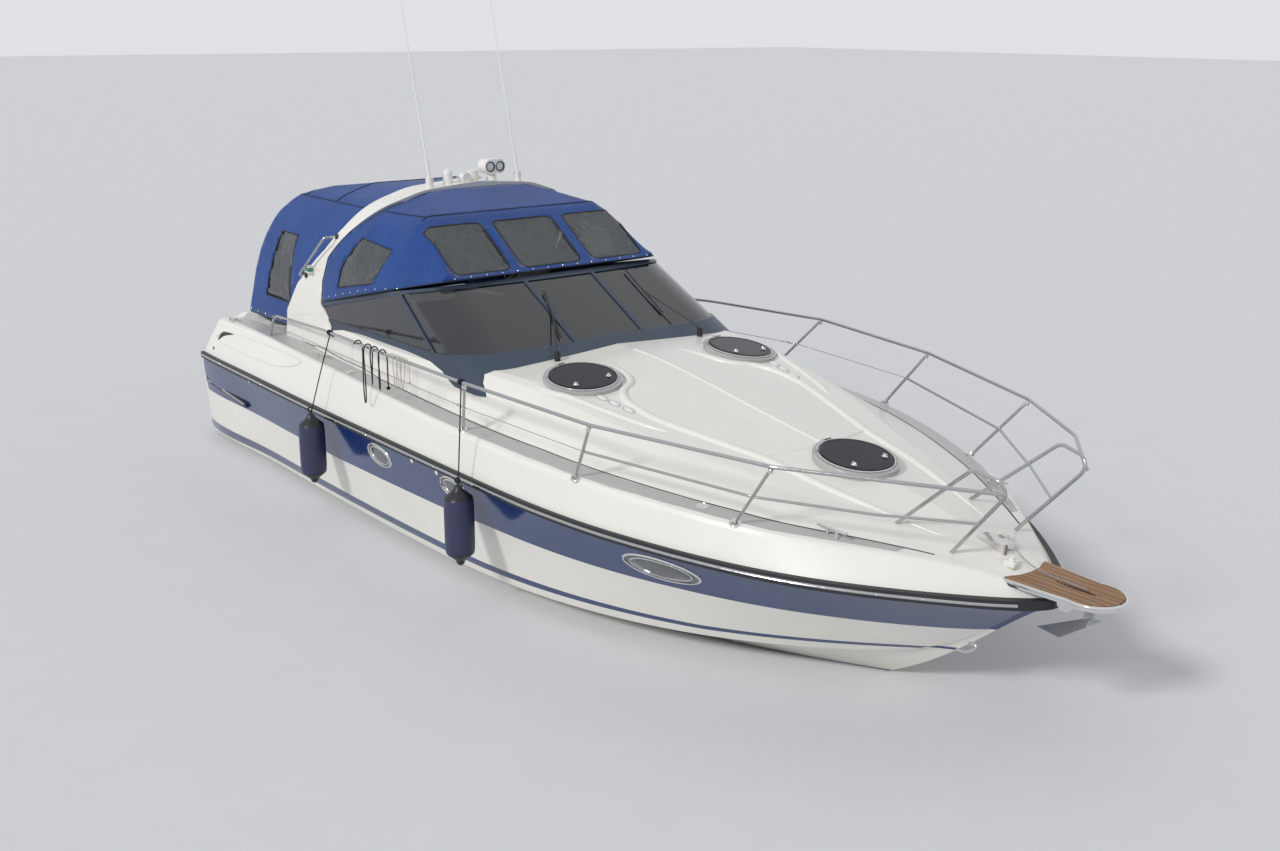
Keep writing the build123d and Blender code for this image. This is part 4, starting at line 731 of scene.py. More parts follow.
@dataclass
class Row:
    """Repeats a small part along a line with geometry nodes."""

    spacing: float = 0.1
    size: tuple[float, float, float] = (0.005, 0.005, 0.005)
    twist: float = 0.0
    bead: Bead = Bead.DOME

    def tree(self, finish: Finish) -> bpy.types.NodeTree:
        """Builds the tree that places, turns and realizes the repeats.

        Args:
            finish: The finish of each repeat.

        Returns:
            The geometry tree.
        """
        tree = bpy.data.node_groups.new("row_of_" + self.bead.value, "GeometryNodeTree")
        face = tree.interface
        face.new_socket("Geometry", in_out="INPUT", socket_type="NodeSocketGeometry")
        face.new_socket("Spacing", in_out="INPUT", socket_type="NodeSocketFloat")
        face.new_socket("Size", in_out="INPUT", socket_type="NodeSocketVector")
        face.new_socket("Twist", in_out="INPUT", socket_type="NodeSocketFloat")
        face.new_socket("Geometry", in_out="OUTPUT", socket_type="NodeSocketGeometry")
        graph = NodeGraph(tree)
        inputs = graph.add("NodeGroupInput").outputs
        line = graph.add("GeometryNodeMeshToCurve", {0: inputs[0]}).outputs[0]
        places = graph.add("GeometryNodeCurveToPoints", {"Curve": line, "Length": inputs[1]}, mode="LENGTH")
        if self.bead is Bead.DOME:
            part = graph.add("GeometryNodeMeshUVSphere", {"Segments": 8, "Rings": 5, "Radius": 1.0}).outputs[0]
        else:
            loop = graph.add("GeometryNodeCurvePrimitiveQuadrilateral", {0: 2.0, 1: 1.2}).outputs[0]
            soft = graph.add("GeometryNodeFilletCurve", {"Curve": loop, "Radius": 0.58}, mode="POLY")
            soft.inputs["Count"].default_value = 3
            wire = graph.add("GeometryNodeCurvePrimitiveCircle", {"Resolution": 6, "Radius": 0.24}).outputs[0]
            part = graph.add("GeometryNodeCurveToMesh", {"Curve": soft.outputs[0], "Profile Curve": wire}).outputs[0]
            part = graph.add(
                "GeometryNodeTransform", {"Geometry": part, "Rotation": (0.0, math.pi / 2, 0.0)}).outputs[0]
        index = graph.add("GeometryNodeInputIndex").outputs[0]
        angle = graph.times(index, inputs[3])
        spin = graph.add("FunctionNodeAxisAngleToRotation", {"Axis": (0, 0, 1), "Angle": angle}).outputs[0]
        turned = graph.add("FunctionNodeRotateRotation", {0: places.outputs["Rotation"], 1: spin},
            rotation_space="LOCAL").outputs[0]
        many = graph.add("GeometryNodeInstanceOnPoints", {"Points": places.outputs[0], "Instance": part,
            "Rotation": turned, "Scale": inputs[2]})
        real = graph.add("GeometryNodeRealizeInstances", {0: many.outputs[0]}).outputs[0]
        dressed = graph.add("GeometryNodeSetMaterial", {"Geometry": real, "Material": finish.material()}).outputs[0]
        graph.add("NodeGroupOutput", {0: dressed})
        return tree

    def along(self, shop: Workshop, name: str, lines: Sequence[Sequence[Point]], finish: Finish, slot: str,
            body: str = BOAT) -> bpy.types.Object:
        """Runs the tree along lines and keeps the result as one plain mesh.

        Args:
            shop: The workshop.
            name: The piece's name.
            lines: The lines that the repeats follow.
            finish: Their finish.
            slot: Not used.
            body: The body they move with.

        Returns:
            The finished piece.
        """
        guide = bpy.data.meshes.new(name + "_line")
        corners, edges = [], []
        for line in lines:
            edges += [(len(corners) + n, len(corners) + n + 1) for n in range(len(line) - 1)]
            corners += [tuple(p) for p in line]
        guide.from_pydata(corners, edges, [])
        carrier = bpy.data.objects.new(name + "_carrier", guide)
        link(carrier)
        modifier = carrier.modifiers.new("row", "NODES")
        modifier.node_group = self.tree(finish)
        sockets = {s.name: s.identifier for s in modifier.node_group.interface.items_tree if s.in_out == "INPUT"}
        modifier[sockets["Spacing"]] = self.spacing
        modifier[sockets["Size"]] = self.size
        modifier[sockets["Twist"]] = self.twist
        seen = carrier.evaluated_get(bpy.context.evaluated_depsgraph_get())
        mesh = bpy.data.meshes.new_from_object(seen)
        carrier.modifiers.clear()
        bpy.data.objects.remove(carrier)
        mesh.name = name
        mesh.shade_smooth()
        return shop.adopt(bpy.data.objects.new(name, mesh), finish, body)


@dataclass
class Studio:
    """The pale floor at the waterline, the soft light and the camera."""

    camera_at: tuple[float, float, float] = (9.302, -6.850, 4.323)
    azimuth: float = 51.198
    elevation: float = 16.298
    roll: float = 0.329
    lens: float = 39.30
    sun: float = 1.65
    sky: float = 0.56
    key_way: tuple[float, float, float] = (0.16, -1.0, 0.66)
    key_spread: float = 9.0
    reach: float = 150.0
    sensor: float = 36.0
    far: float = 500.0
    soft: tuple[float, ...] = (0.95, 0.97, 1.0, 1)
    pale: tuple[float, ...] = (0.74, 0.755, 0.775, 1)

    def camera(self) -> None:
        """Sets the camera at the photograph's view."""
        a, e, r = (math.radians(v) for v in (self.azimuth, self.elevation, self.roll))
        back = Vector((math.sin(a) * math.cos(e), -math.cos(a) * math.cos(e), math.sin(e)))
        right = (-back).cross(Vector((0, 0, 1))).normalized()
        up = right.cross(-back)
        level = right * math.cos(r) + up * math.sin(r)
        top = up * math.cos(r) - right * math.sin(r)
        data = bpy.data.cameras.new("camera")
        data.lens, data.sensor_width, data.sensor_fit = self.lens, self.sensor, "HORIZONTAL"
        data.clip_end = self.far
        made = bpy.data.objects.new("camera", data)
        made.matrix_world = Matrix.Translation(self.camera_at) @ Matrix((level, top, back)).transposed().to_4x4()
        link(made)
        bpy.context.scene.camera = made

    def light(self) -> None:
        """Sets one soft high lamp and an even pale world."""
        data = bpy.data.lights.new("key", "SUN")
        data.energy, data.angle = self.sun, math.radians(self.key_spread)
        made = bpy.data.objects.new("key", data)
        made.rotation_euler = Vector(self.key_way).to_track_quat("Z", "Y").to_euler()
        link(made)
        world = bpy.data.worlds.new("world")
        bpy.context.scene.world = world
        world.use_nodes = True
        graph = NodeGraph(world.node_tree)
        path = graph.add("ShaderNodeLightPath").outputs
        seen = graph.math(
            "MAXIMUM", path["Is Camera Ray"], graph.math("MAXIMUM", path["Is Glossy Ray"], path["Is Transmission Ray"]))
        soft = graph.add("ShaderNodeBackground", {"Color": self.soft, "Strength": self.sky})
        pale = graph.add("ShaderNodeBackground", {"Color": self.pale, "Strength": 1.0})
        both = graph.add("ShaderNodeMixShader", {0: seen, 1: soft.outputs[0], 2: pale.outputs[0]})
        graph.add("ShaderNodeOutputWorld", {0: both.outputs[0]})

    def floor(self) -> None:
        """Lays the plain floor at the waterline."""
        shape = Shape()
        corners = [Vector((x * self.reach, y * self.reach, 0.0)) for x, y in ((-1, -1), (1, -1), (1, 1), (-1, 1))]
        shape.bm.faces.new(shape.ring(corners))
        mesh = shape.mesh("floor")
        made = bpy.data.objects.new("floor", mesh)
        link(made)
        finish = Finish("floor", (0.74, 0.75, 0.765), rough=0.9, mottle=0.01, depth=0.0002, specular=0.1)
        mesh.materials.append(finish.material())

    def build(self) -> None:
        """Builds the studio and sets the plain colour view."""
        self.camera()
        self.light()
        self.floor()
        bpy.context.scene.view_settings.view_transform = "Standard"
        log.info("studio ready")


@dataclass
class HullTrim:
    """Portholes, outlets, the bright strips with their screws, and the bow eye."""

    ports: tuple[tuple[float, float, float, float], ...] = ((-0.627, 0.835, 0.185, 0.098), (0.559, 0.862, 0.185, 0.098),
        (2.656, 0.805, 0.285, 0.098))
    outlets: Knots = ((-3.34, 0.905), (-0.03, 0.945), (0.35, 0.945))
    sheer: Knots = ((-4.6, 0.930), (-2.6, 0.970), (-0.6, 1.005), (0.9, 1.020), (1.9, 1.014), (2.7, 1.002), (3.4, 0.985),
        (3.9, 0.974), (4.35, 0.962), (4.72, 0.950))
    strip: float = 0.011
    screw_gap: float = 0.27
    rail_ends: tuple[float, float] = (-4.58, 4.70)
    rail_step: float = 0.08

    def oval(self, shop: Workshop, x: float, z: float, half: float, rise: float, hand: int, lift: float,
            steps: int = 48) -> list[Vector]:
        """Draws an oval on the topsides."""
        turn = around(steps)
        return [shop.side(x + half * math.cos(a), z + rise * math.sin(a), hand, lift=lift)[0] for a in turn]

    def portholes(self, shop: Workshop, hand: int, word: str) -> None:
        """Sets the dark oval lights in bright rims."""
        rims, glass = Shape(), Shape()
        for x, z, half, rise in self.ports:
            rims.tube(self.oval(shop, x, z, half, rise, hand, 0.003), 0.010, 8, closed=True, flat=0.8)
            rims.tube(self.oval(shop, x, z, half * 0.8, rise * 0.74, hand, 0.004), 0.006, 6, closed=True)
            scales = ((0.97, 0.002), (0.82, 0.002), (0.8, 0.0045), (0.5, 0.006), (0.2, 0.0065))
            glass.patch([self.oval(shop, x, z, half * s, rise * s, hand, lift) for s, lift in scales])
        shop.piece("porthole_rims_" + word, rims, CHROME)
        shop.piece("porthole_glass_" + word, glass, SMOKED_GLASS)

    def rail(self, shop: Workshop) -> None:
        """Runs the bright strip and its screws along the rub rail."""
        strip, screws = Shape(), []
        for hand in (-1, 1):
            places = [self.rail_ends[0] + self.rail_step * n for n in range(117)]
            line = [shop.side(x, level(self.sheer, x), hand, ("rub_rail",),
                0.0)[0] for x in places if x < self.rail_ends[1]]
            strip.tube(line, self.strip, 8, flat=0.75)
            screws.append([p + Vector((0, hand * self.strip * 0.9, 0)) for p in line])
        shop.piece("rub_rail_strip", strip, STEEL)
        row = Row(self.screw_gap, (0.0065, 0.0065, 0.0065))
        row.along(shop, "rub_rail_screws", screws, CHROME, "stainless")

    def bumpers(self, shop: Workshop) -> None:
        """Caps the quarter bumpers with bright half-rounds."""
        cap = Shape()
        for hand in (-1, 1):
            places = [-4.60 + 0.05 * n for n in range(21)]
            line = [shop.side(x, 0.648 - 0.05 * (x + 4.64) / 1.08, hand, ("quarter_bumpers",), 0.0) for x in places]
            cap.tube([p for p, _ in line], 0.012, 8, flat=0.7)
        shop.piece("bumper_strips", cap, STEEL)

    def fittings(self, shop: Workshop) -> None:
        """Sets the outlets, the drains and the bow eye."""
        lips = Shape()
        for hand in (-1, 1):
            for x, z in self.outlets:
                place, out = shop.side(x, z, hand)
                lips.lathe(((0.0, -0.004), (0.019, -0.004), (0.021, 0.004), (0.016, 0.009), (0.010, 0.009),
                    (0.009, 0.002), (0.0, 0.002)), place, out, 20)
            for x, z in ((3.9, 0.33), (-4.2, 0.30)):
                place, out = shop.side(x, z, hand)
                lips.lathe(((0.0, -0.003), (0.012, -0.003), (0.013, 0.003), (0.008, 0.005), (0.0, 0.001)), place, out,
                    16)
        shop.piece("outlet_lips", lips, PLASTIC)
        high, _ = shop.cast(("hull",), (7, 0, 0.455), (-1, 0, 0))
        low, _ = shop.cast(("hull",), (7, 0, 0.375), (-1, 0, 0))
        eye = Shape()
        eye.tube(spline((high - Vector((0.01, 0, 0)), high + Vector((0.045, 0, -0.004)),
            (high + low) / 2 + Vector((0.07, 0, 0)), low + Vector((0.05, 0, 0.0)), low - Vector((0.01, 0, 0))), 6),
            0.009, 10)
        for spot in (high, low):
            eye.lathe(((0.0, -0.004), (0.02, -0.004), (0.022, 0.003), (0.012, 0.008), (0.0, 0.008)),
                spot, (0.93, 0, -0.36), 16)
        shop.piece("bow_eye", eye, CHROME)

    def build(self, shop: Workshop) -> None:
        """Builds all of the hull's trim."""
        self.portholes(shop, -1, "starboard")
        self.portholes(shop, 1, "port")
        self.rail(shop)
        self.bumpers(shop)
        self.fittings(shop)


@dataclass
class DeckTrim:
    """Moulded ridges, creases, light recesses, the joint's bead and the quarter scallops."""

    ridge: Knots = ((0.80, 0.34), (1.014, 0.41), (1.2, 0.455), (1.315, 0.53), (1.40, 0.66), (1.55, 0.745),
        (1.75, 0.765), (1.935, 0.75), (2.345, 0.64), (2.76, 0.52), (3.007, 0.48), (3.3, 0.44), (3.75, 0.33), (4.2, 0.2))
    tail: Knots = ((0.92, 1.14), (1.12, 1.125), (1.307, 1.06), (1.606, 0.985), (1.895, 0.90), (2.15, 0.80))
    ovals: Knots = ((1.424, 0.872), (1.545, 0.852), (1.69, 0.832))
    joint: Knots = ((-3.72, 1.19), (-3.0, 1.262), (-2.335, 1.306), (-1.598, 1.364), (-0.6, 1.427), (0.2, 1.462),
        (0.9, 1.472), (1.45, 1.448), (1.9, 1.405), (2.3, 1.322), (2.7, 1.200), (3.05, 1.062), (3.4, 0.906),
        (3.9, 0.612), (4.2, 0.425))
    scallop: tuple[Point, ...] = ((-4.288, 1.479, 1.136), (-4.191, 1.461, 1.217), (-4.059, 1.455, 1.250),
        (-3.676, 1.459, 1.272), (-3.2, 1.47, 1.29), (-2.698, 1.488, 1.308), (-2.28, 1.508, 1.312),
        (-2.25, 1.528, 1.287), (-2.47, 1.539, 1.215), (-2.83, 1.535, 1.161),
        (-3.306, 1.516, 1.136), (-3.804, 1.498, 1.124))

    def lay(self, shop: Workshop, knots: Knots, hand: int, lift: float,
            steps: int = 8) -> tuple[list[Vector], list[Vector]]:
        """Lays a smooth line on the deck.

        Args:
            shop: The workshop.
            knots: Places along and across the boat.
            hand: -1 for starboard, 1 for port.
            lift: How far above the face.
            steps: Pieces between two places.

        Returns:
            The line and the deck's normals along it.
        """
        flat = spline([(x, y * hand, 0.0) for x, y in knots], steps)
        laid = [shop.down(p.x, p.y, lift=lift) for p in flat]
        return [p for p, _ in laid], [n for _, n in laid]

    def ridges(self, shop: Workshop) -> None:
        """Raises the long ridges that run from the hatches to the bow."""
        shape = Shape()
        for hand in (-1, 1):
            for knots, wide in ((self.ridge, 0.036), (self.tail, 0.028)):
                line, _ = self.lay(shop, knots, hand, -0.004)
                count = len(line) - 1
                radii = [wide * min(1.0, 0.15 + 6 * min(n, count - n) / count) for n in range(count + 1)]
                shape.tube(line, radii, 12, flat=0.72, up=(0, 0, 1))
        shop.piece("deck_ridges", shape, GELCOAT, angle=80)

    def creases(self, shop: Workshop) -> None:
        """Marks the folds across the foredeck and the bead along the deck joint."""
        shape = Shape()
        spine, _ = self.lay(shop, ((0.72, 0.0), (1.8, 0.0), (2.72, 0.0), (2.82, 0.0)), 1, -0.004)
        cross, _ = self.lay(shop, ((2.74, -0.49), (2.80, -0.2), (2.83, 0.0), (2.80, 0.2), (2.74, 0.49)), 1, -0.004)
        for line in (spine, cross):
            shape.tube(line, 0.022, 10, flat=0.55, up=(0, 0, 1))
        shop.piece("deck_folds", shape, GELCOAT, angle=80)
        bead = Shape()
        for hand in (-1, 1):
            line, _ = self.lay(shop, self.joint, hand, 0.0)
            bead.tube(line, 0.0065, 6, flat=0.5, up=(0, 0, 1))
        shop.piece("deck_joint_bead", bead, SEALANT)

    def recesses(self, shop: Workshop) -> None:
        """Sets three oval lights beside each forward hatch, each in a thin grey ring of painted shade that stands for
        its recess.
        """
        rims, domes = Shape(), Shape()
        for hand in (-1, 1):
            for x, y in self.ovals:
                turn = around(28)
                # The grey rings are painted shade: they stand for the shaded sides of the recesses round the domes.
                rims.tube([shop.down(x + 0.058 * math.cos(a), hand * (y + 0.030 * math.sin(a)),
                    lift=0.0)[0] for a in turn], 0.0045, 6, closed=True)
                scales = ((0.95, 0.001), (0.8, 0.006), (0.5, 0.011), (0.2, 0.013))
                domes.patch([[shop.down(x + 0.058 * s * math.cos(a), hand * (y + 0.030 * s * math.sin(a)),
                    lift=lift)[0] for a in turn] for s, lift in scales])
        shop.piece("deck_light_recess_shade", rims, GREY)
        shop.piece("deck_lights", domes, PLASTIC)

    def scallops(self, shop: Workshop) -> None:
        """Shapes the lips of the long scallops on the quarters, lays a dark crescent of painted shade in the aft end of
        each recess, and sets their drains.
        """
        lips, shade_and_drains = Shape(), Shape()
        tree = shop.tree("deck")
        for hand in (-1, 1):
            outline = spline([(x, y * hand, z) for x, y, z in self.scallop], 6, closed=True)
            laid = [tree.find_nearest(p) for p in outline]
            lips.tube([point for point, _, _, _ in laid], 0.011, 8, closed=True, flat=0.6)
            # The dark crescent is painted shade: a dark sheet where the aft end of the recess falls into shade.
            crescent = spline([(x, y * hand, z) for x, y, z in ((-4.27, 1.479, 1.130), (-4.215, 1.468, 1.165),
                (-4.15, 1.463, 1.205), (-4.04, 1.458, 1.232), (-3.9, 1.459, 1.248))], 6)
            dark = [tree.find_nearest(p) for p in crescent]
            count = len(dark) - 1
            radii = [0.003 + 0.024 * math.sin(math.pi * n / count) for n in range(count + 1)]
            shade_and_drains.tube([point for point, _, _, _ in dark], radii, 8, flat=0.25, up=(0, hand, 0.0))
            drain, out, _, _ = tree.find_nearest(Vector((-4.334, 1.502 * hand, 1.038)))
            shade_and_drains.lathe(((0.0, 0.0), (0.014, 0.0), (0.016, 0.004), (0.010, 0.006), (0.0, 0.002)), drain, out, 18)
        shop.piece("scallop_lips", lips, GELCOAT, angle=80)
        shop.piece("scallop_shade_and_drains", shade_and_drains, SEALANT)

    def filler(self, shop: Workshop) -> None:
        """Sets the deck filler caps."""
        caps = Shape()
        for x, y in ((-1.378, -1.475), (-1.378, 1.475), (2.9, -1.18)):
            place, out = shop.down(x, y)
            caps.lathe(((0.0, -0.002), (0.042, -0.002), (0.044, 0.003), (0.036, 0.006), (0.034, 0.003), (0.010, 0.003),
                (0.008, 0.007), (0.0, 0.007)), place, out, 28)
        shop.piece("deck_fillers", caps, CHROME)

    def build(self, shop: Workshop) -> None:
        """Builds all of the deck's trim."""
        self.ridges(shop)
        self.creases(shop)
        self.recesses(shop)
        self.scallops(shop)
        self.filler(shop)


@dataclass
class DeckHatches:
    """Bright rings round the three smoked lids, and the latches and seals on them."""

    lids: tuple[tuple[str, float, float], ...] = (("port", 1.087, 0.80),
        ("starboard", 1.087, -0.80), ("fore", 3.14, 0.0))
    ring: float = 0.269
    wire: float = 0.0055
    seal: float = 0.236
    latch_out: float = 0.195

    def plane(self, shop: Workshop, word: str, x: float, y: float) -> tuple[Vector, Vector, Vector, Vector]:
        """Finds a lid's middle, normal and two directions in its plane."""
        node = ("hatch_lid_" + word,)
        ahead, aft = shop.down(x + 0.12, y, node)[0], shop.down(x - 0.12, y, node)[0]
        left, right = shop.down(x, y + 0.12, node)[0], shop.down(x, y - 0.12, node)[0]
        fore, side = (ahead - aft).normalized(), (left - right).normalized()
        return (ahead + aft + left + right) / 4, fore.cross(side).normalized(), fore, side

    def build(self, shop: Workshop) -> None:
        """Builds the rings, the latches and the seals."""
        rings = Shape()
        for word, x, y in self.lids:
            middle, up, fore, side = self.plane(shop, word, x, y)
            for radius, drop, wire in ((self.ring, 0.008, self.wire), (self.ring + 0.030, 0.018, 0.004)):
                rings.tube(circle(middle - up * drop, fore, side, radius, 64), wire, 8, closed=True)
            latch = Shape()
            for angle in (0.9, -0.9):
                spot = middle + (fore * math.cos(angle) + side * math.sin(angle)) * self.latch_out
                latch.lathe(((0.0, -0.002), (0.020, -0.002), (0.022, 0.004), (0.014, 0.010), (0.012, 0.018),
                    (0.0, 0.020)), spot, up, 20)
                latch.block(spot + up * 0.017, (0.036, 0.012, 0.008), 0.003, up.to_track_quat("Z", "X").to_matrix())
            shop.piece("hatch_latches_" + word, latch, CHROME, "hatch_lid_" + word + "_body")
            seal = Shape()
            seal.tube(circle(middle + up * 0.0005, fore, side, self.seal, 48), 0.004, 6, closed=True, flat=0.5, up=up)
            shop.piece("hatch_seal_" + word, seal, SEALANT, "hatch_lid_" + word + "_body")
        shop.piece("hatch_rings", rings, CHROME)


@dataclass
class ArchGear:
    """Lenses, lamp rims and handle feet on the arch."""

    lamp_x: float = -1.6265
    lamp_z: float = 3.002
    lamps: tuple[float, float] = (0.163, 0.267)

    def lights(self, shop: Workshop) -> None:
        """Sets the coloured side lenses in their housings."""
        for hand, finish, word in ((-1, GREEN_LENS, "starboard"), (1, RED_LENS, "port")):
            shape = Shape()
            shape.block((-2.412, hand * 1.3215, 2.10), (0.058, 0.016, 0.036), 0.006)
            shape.block((-2.3865, hand * 1.300, 2.10), (0.012, 0.040, 0.036), 0.005)
            shop.piece("side_lens_" + word, shape, finish)

    def searchlight(self, shop: Workshop) -> None:
        """Sets the twin lenses and their rims, which turn with the lamp."""
        rims, lenses = Shape(), Shape()
        for y in self.lamps:
            place = (self.lamp_x, y, self.lamp_z)
            rims.lathe(((0.0405, 0.0), (0.0405, 0.010), (0.045, 0.012), (0.048, 0.009), (0.046, 0.0055), (0.0415, 0.0)),
                place, (1, 0, 0), 36)
            lenses.lathe(((0.0, -0.001), (0.0395, -0.001), (0.0395, 0.001), (0.030, 0.0045), (0.015, 0.006),
                (0.0, 0.0065)), place, (1, 0, 0), 36)
        shop.piece("searchlight_rims", rims, BLACK, "searchlight_body")
        shop.piece("searchlight_lenses", lenses, LENS, "searchlight_body")

    def feet(self, shop: Workshop) -> None:
        """Sets dark pads where the handles meet the arch."""
        pads = Shape()
        for hand in (-1, 1):
            for x, z in ((-2.55, 2.03), (-2.075, 2.43)):
                found = shop.cast(("arch",), (x, hand * 1.30, z), (0, -hand, 0)) or (Vector((x, hand * 1.25, z)),
                    Vector((0, hand, 0)))
                pads.lathe(((0.0115, 0.0), (0.030, 0.0), (0.032, 0.005), (0.024, 0.012), (0.0115, 0.013)),
                    found[0], (0, hand, 0), 24)
        shop.piece("handle_feet", pads, BLACK)

    def build(self, shop: Workshop) -> None:
        """Builds all of the arch's small gear."""
        self.lights(shop)
        self.searchlight(shop)
        self.feet(shop)


@dataclass
class Canopies:
    """The blue covers before and behind the arch, with their clear panes, piping and studs."""

    pitch: float = 0.075
    axis: float = 1.9
    cloth: float = 0.0014
    front_cut: tuple[float, float, float] = (3.27, 1.50, 3.30)
    aft_cut: tuple[float, float, float] = (4.00, 2.76, 7.34)
    pane_cut: tuple[float, float, float] = (3.26, 0.60, 1.48)
    rear_cut: tuple[float, float, float] = (2.79, 0.69, 1.59)
    stud_gap: float = 0.145
    parting: float = -2.4
    seam: float = 0.0042
    seam_side: float = 0.93
    step: float = 0.04
    bows: tuple[float, ...] = (-1.02, -2.55, -3.16)
    skirt: Knots = ((-2.33, 1.806), (-1.3, 2.049), (-0.4, 2.19))

    def skin(self, shop: Workshop, node: str, low: float, high: float, waves: float) -> Shape:
        """Takes a cover's outer face as one fine soft sheet.

        Args:
            shop: The workshop.
            node: The node that the cover stands for.
            low: Aft end of the line that the face is seen from.
            high: Fore end of that line.
            waves: How deep the soft folds are.

        Returns:
            The sheet, without thickness.
        """
        shape = Shape()
        shape.bm.from_mesh(shop.nodes[node].data)
        bmesh.ops.remove_doubles(shape.bm, verts=shape.bm.verts, dist=0.00003)
        tree = shop.tree(*COVERS)
        drop = []
        for face in shape.bm.faces:
            middle = face.calc_center_median()
            out = middle - Vector((min(max(middle.x, low), high), 0.0, self.axis))
            met = tree.ray_cast(middle + face.normal * 0.0004, face.normal, 3.0)[0]
            if face.normal.dot(out.normalized()) < 0.3 or met is not None:
                drop.append(face)
        bmesh.ops.delete(shape.bm, geom=drop, context="FACES")
        ends = [[min(v.co[k] for v in shape.bm.verts), max(v.co[k] for v in shape.bm.verts)] for k in range(3)]
        for k, (start, end) in enumerate(ends):
            way = Vector([1.0 if n == k else 0.0 for n in range(3)])
            for n in range(1, int((end - start) / self.pitch) + 1):
                parts = shape.bm.verts[:] + shape.bm.edges[:] + shape.bm.faces[:]
                bmesh.ops.bisect_plane(shape.bm, geom=parts, plane_co=way * (start + n * self.pitch),
                    plane_no=way, dist=0.0004)
        bmesh.ops.remove_doubles(shape.bm, verts=shape.bm.verts, dist=0.0008)
        for vert in [v for v in shape.bm.verts if not v.is_boundary]:
            out = vert.co - Vector((min(max(vert.co.x, low), high), 0.0, self.axis))
            near = noise.noise(Vector((vert.co.x * 2.1, vert.co.y * 1.3, vert.co.z * 2.6)))
            fine = noise.noise(Vector((vert.co.x * 7.0 + vert.co.z * 5.0, vert.co.y * 3.0, vert.co.z * 8.0 + 3.0)))
            vert.co += out.normalized() * waves * (near + 0.5 * fine - 0.4)
        return shape

    @staticmethod
    def edges(bm: bmesh.types.BMesh) -> list[list[Vector]]:
        """Walks the open edges of a sheet as closed lines."""
        left = {e for e in bm.edges if len(e.link_faces) == 1}
        lines = []
        while left:
            edge = left.pop()
            start, here = edge.verts
            line = [start.co.copy(), here.co.copy()]
            while here is not start:
                onward = [e for e in here.link_edges if e in left]
                if not onward:
                    break
                left.discard(onward[0])
                here = onward[0].other_vert(here)
                if (here.co - line[-1]).length > 0.012:
                    line.append(here.co.copy())
            if len(line) > 5:
                lines.append(line[:-1] if here is start else line)
        return lines

    def sheet(self, shop: Workshop, name: str, shape: Shape, finish: Finish, replaces: tuple[str, ...]) -> bpy.types.Object:
        """Turns a soft sheet into a piece with the cloth's thickness."""
        made = shop.piece(name, shape, finish, BOAT, replaces, angle=75)
        thick = made.modifiers.new("thickness", "SOLIDIFY")
        thick.thickness, thick.offset = self.cloth, -1.0
        return made

    def build(self, shop: Workshop) -> None:
        """Builds both covers, their panes, piping, seams and studs."""
        front = self.skin(shop, "canopy_front", -2.4, -1.0, 0.005)
        aft = self.skin(shop, "canopy_aft", -3.0, -1.7, 0.005)
        panes = self.skin(shop, "canopy_windows", -3.0, -1.0, 0.006)
        piping = Shape()
        for line in self.edges(front.bm) + self.edges(aft.bm):
            piping.tube(line, 0.0052, 6, closed=True)
        rear = Shape()
        rear.bm.from_mesh(self.rear_part(panes))
        self.sheet(shop, "canopy_front_cover", front, CANVAS, ("canopy_front",))
        self.sheet(shop, "canopy_aft_cover", aft, CANVAS, ("canopy_aft",))
        self.sheet(shop, "canopy_front_panes", panes, VINYL, ("canopy_windows",))
        self.sheet(shop, "canopy_aft_panes", rear, SMOKED_VINYL, ())
        shop.piece("canopy_piping", piping, PIPING)
        self.seams(shop)
        self.studs(shop)

    def rear_part(self, panes: Shape) -> bpy.types.Mesh:
        """Parts the panes behind the arch from those before it."""
        mesh = bpy.data.meshes.new("rear_panes")
        panes.bm.to_mesh(mesh)
        keep = bmesh.new()
        keep.from_mesh(mesh)
        bmesh.ops.delete(keep, geom=[f for f in keep.faces if f.calc_center_median().x > self.parting], context="FACES")
        keep.to_mesh(mesh)
        keep.free()
        bmesh.ops.delete(panes.bm, geom=[f for f in panes.bm.faces if f.calc_center_median().x <= self.parting],
            context="FACES")
        return mesh

    def seams(self, shop: Workshop) -> None:
        """Sews dark seams over the roof and down its sides, with stitches beside them."""
        shape, threads = Shape(), []
        for hand in (-1, 1):
            roof = [shop.down(-1.62 + self.step * n, hand * (self.seam_side - 0.004 * n), COVERS,
                0.002)[0] for n in range(16)]
            back = [shop.down(-1.95 - self.step * n, hand * self.seam_side, COVERS, 0.002)[0] for n in range(34)]
            for line in (roof, back):
                shape.tube(line, self.seam, 6)
                threads.append([p + Vector((0, -hand * 0.012, 0.0005)) for p in line])
        for x in self.bows:
            across = [shop.down(x, -0.92 + self.step * n, COVERS, 0.002)[0] for n in range(47)]
            shape.tube(across, self.seam, 6)
            threads.append([p + Vector((0.012, 0, 0.0005)) for p in across])
        shop.piece("canopy_seams", shape, PIPING)
        row = Row(0.009, (0.0007, 0.0007, 0.0028))
        row.along(shop, "canopy_stitches", threads, WELT, "canopy_cloth")

    @staticmethod
    def met(shop: Workshop, node: str, starts: Iterable[Point], way: Point) -> list[Vector]:
        """Gives the points where lines from some places meet a cover."""
        found = (shop.cast((node,), start, way, 0.003) for start in starts)
        return [hit[0] for hit in found if hit]

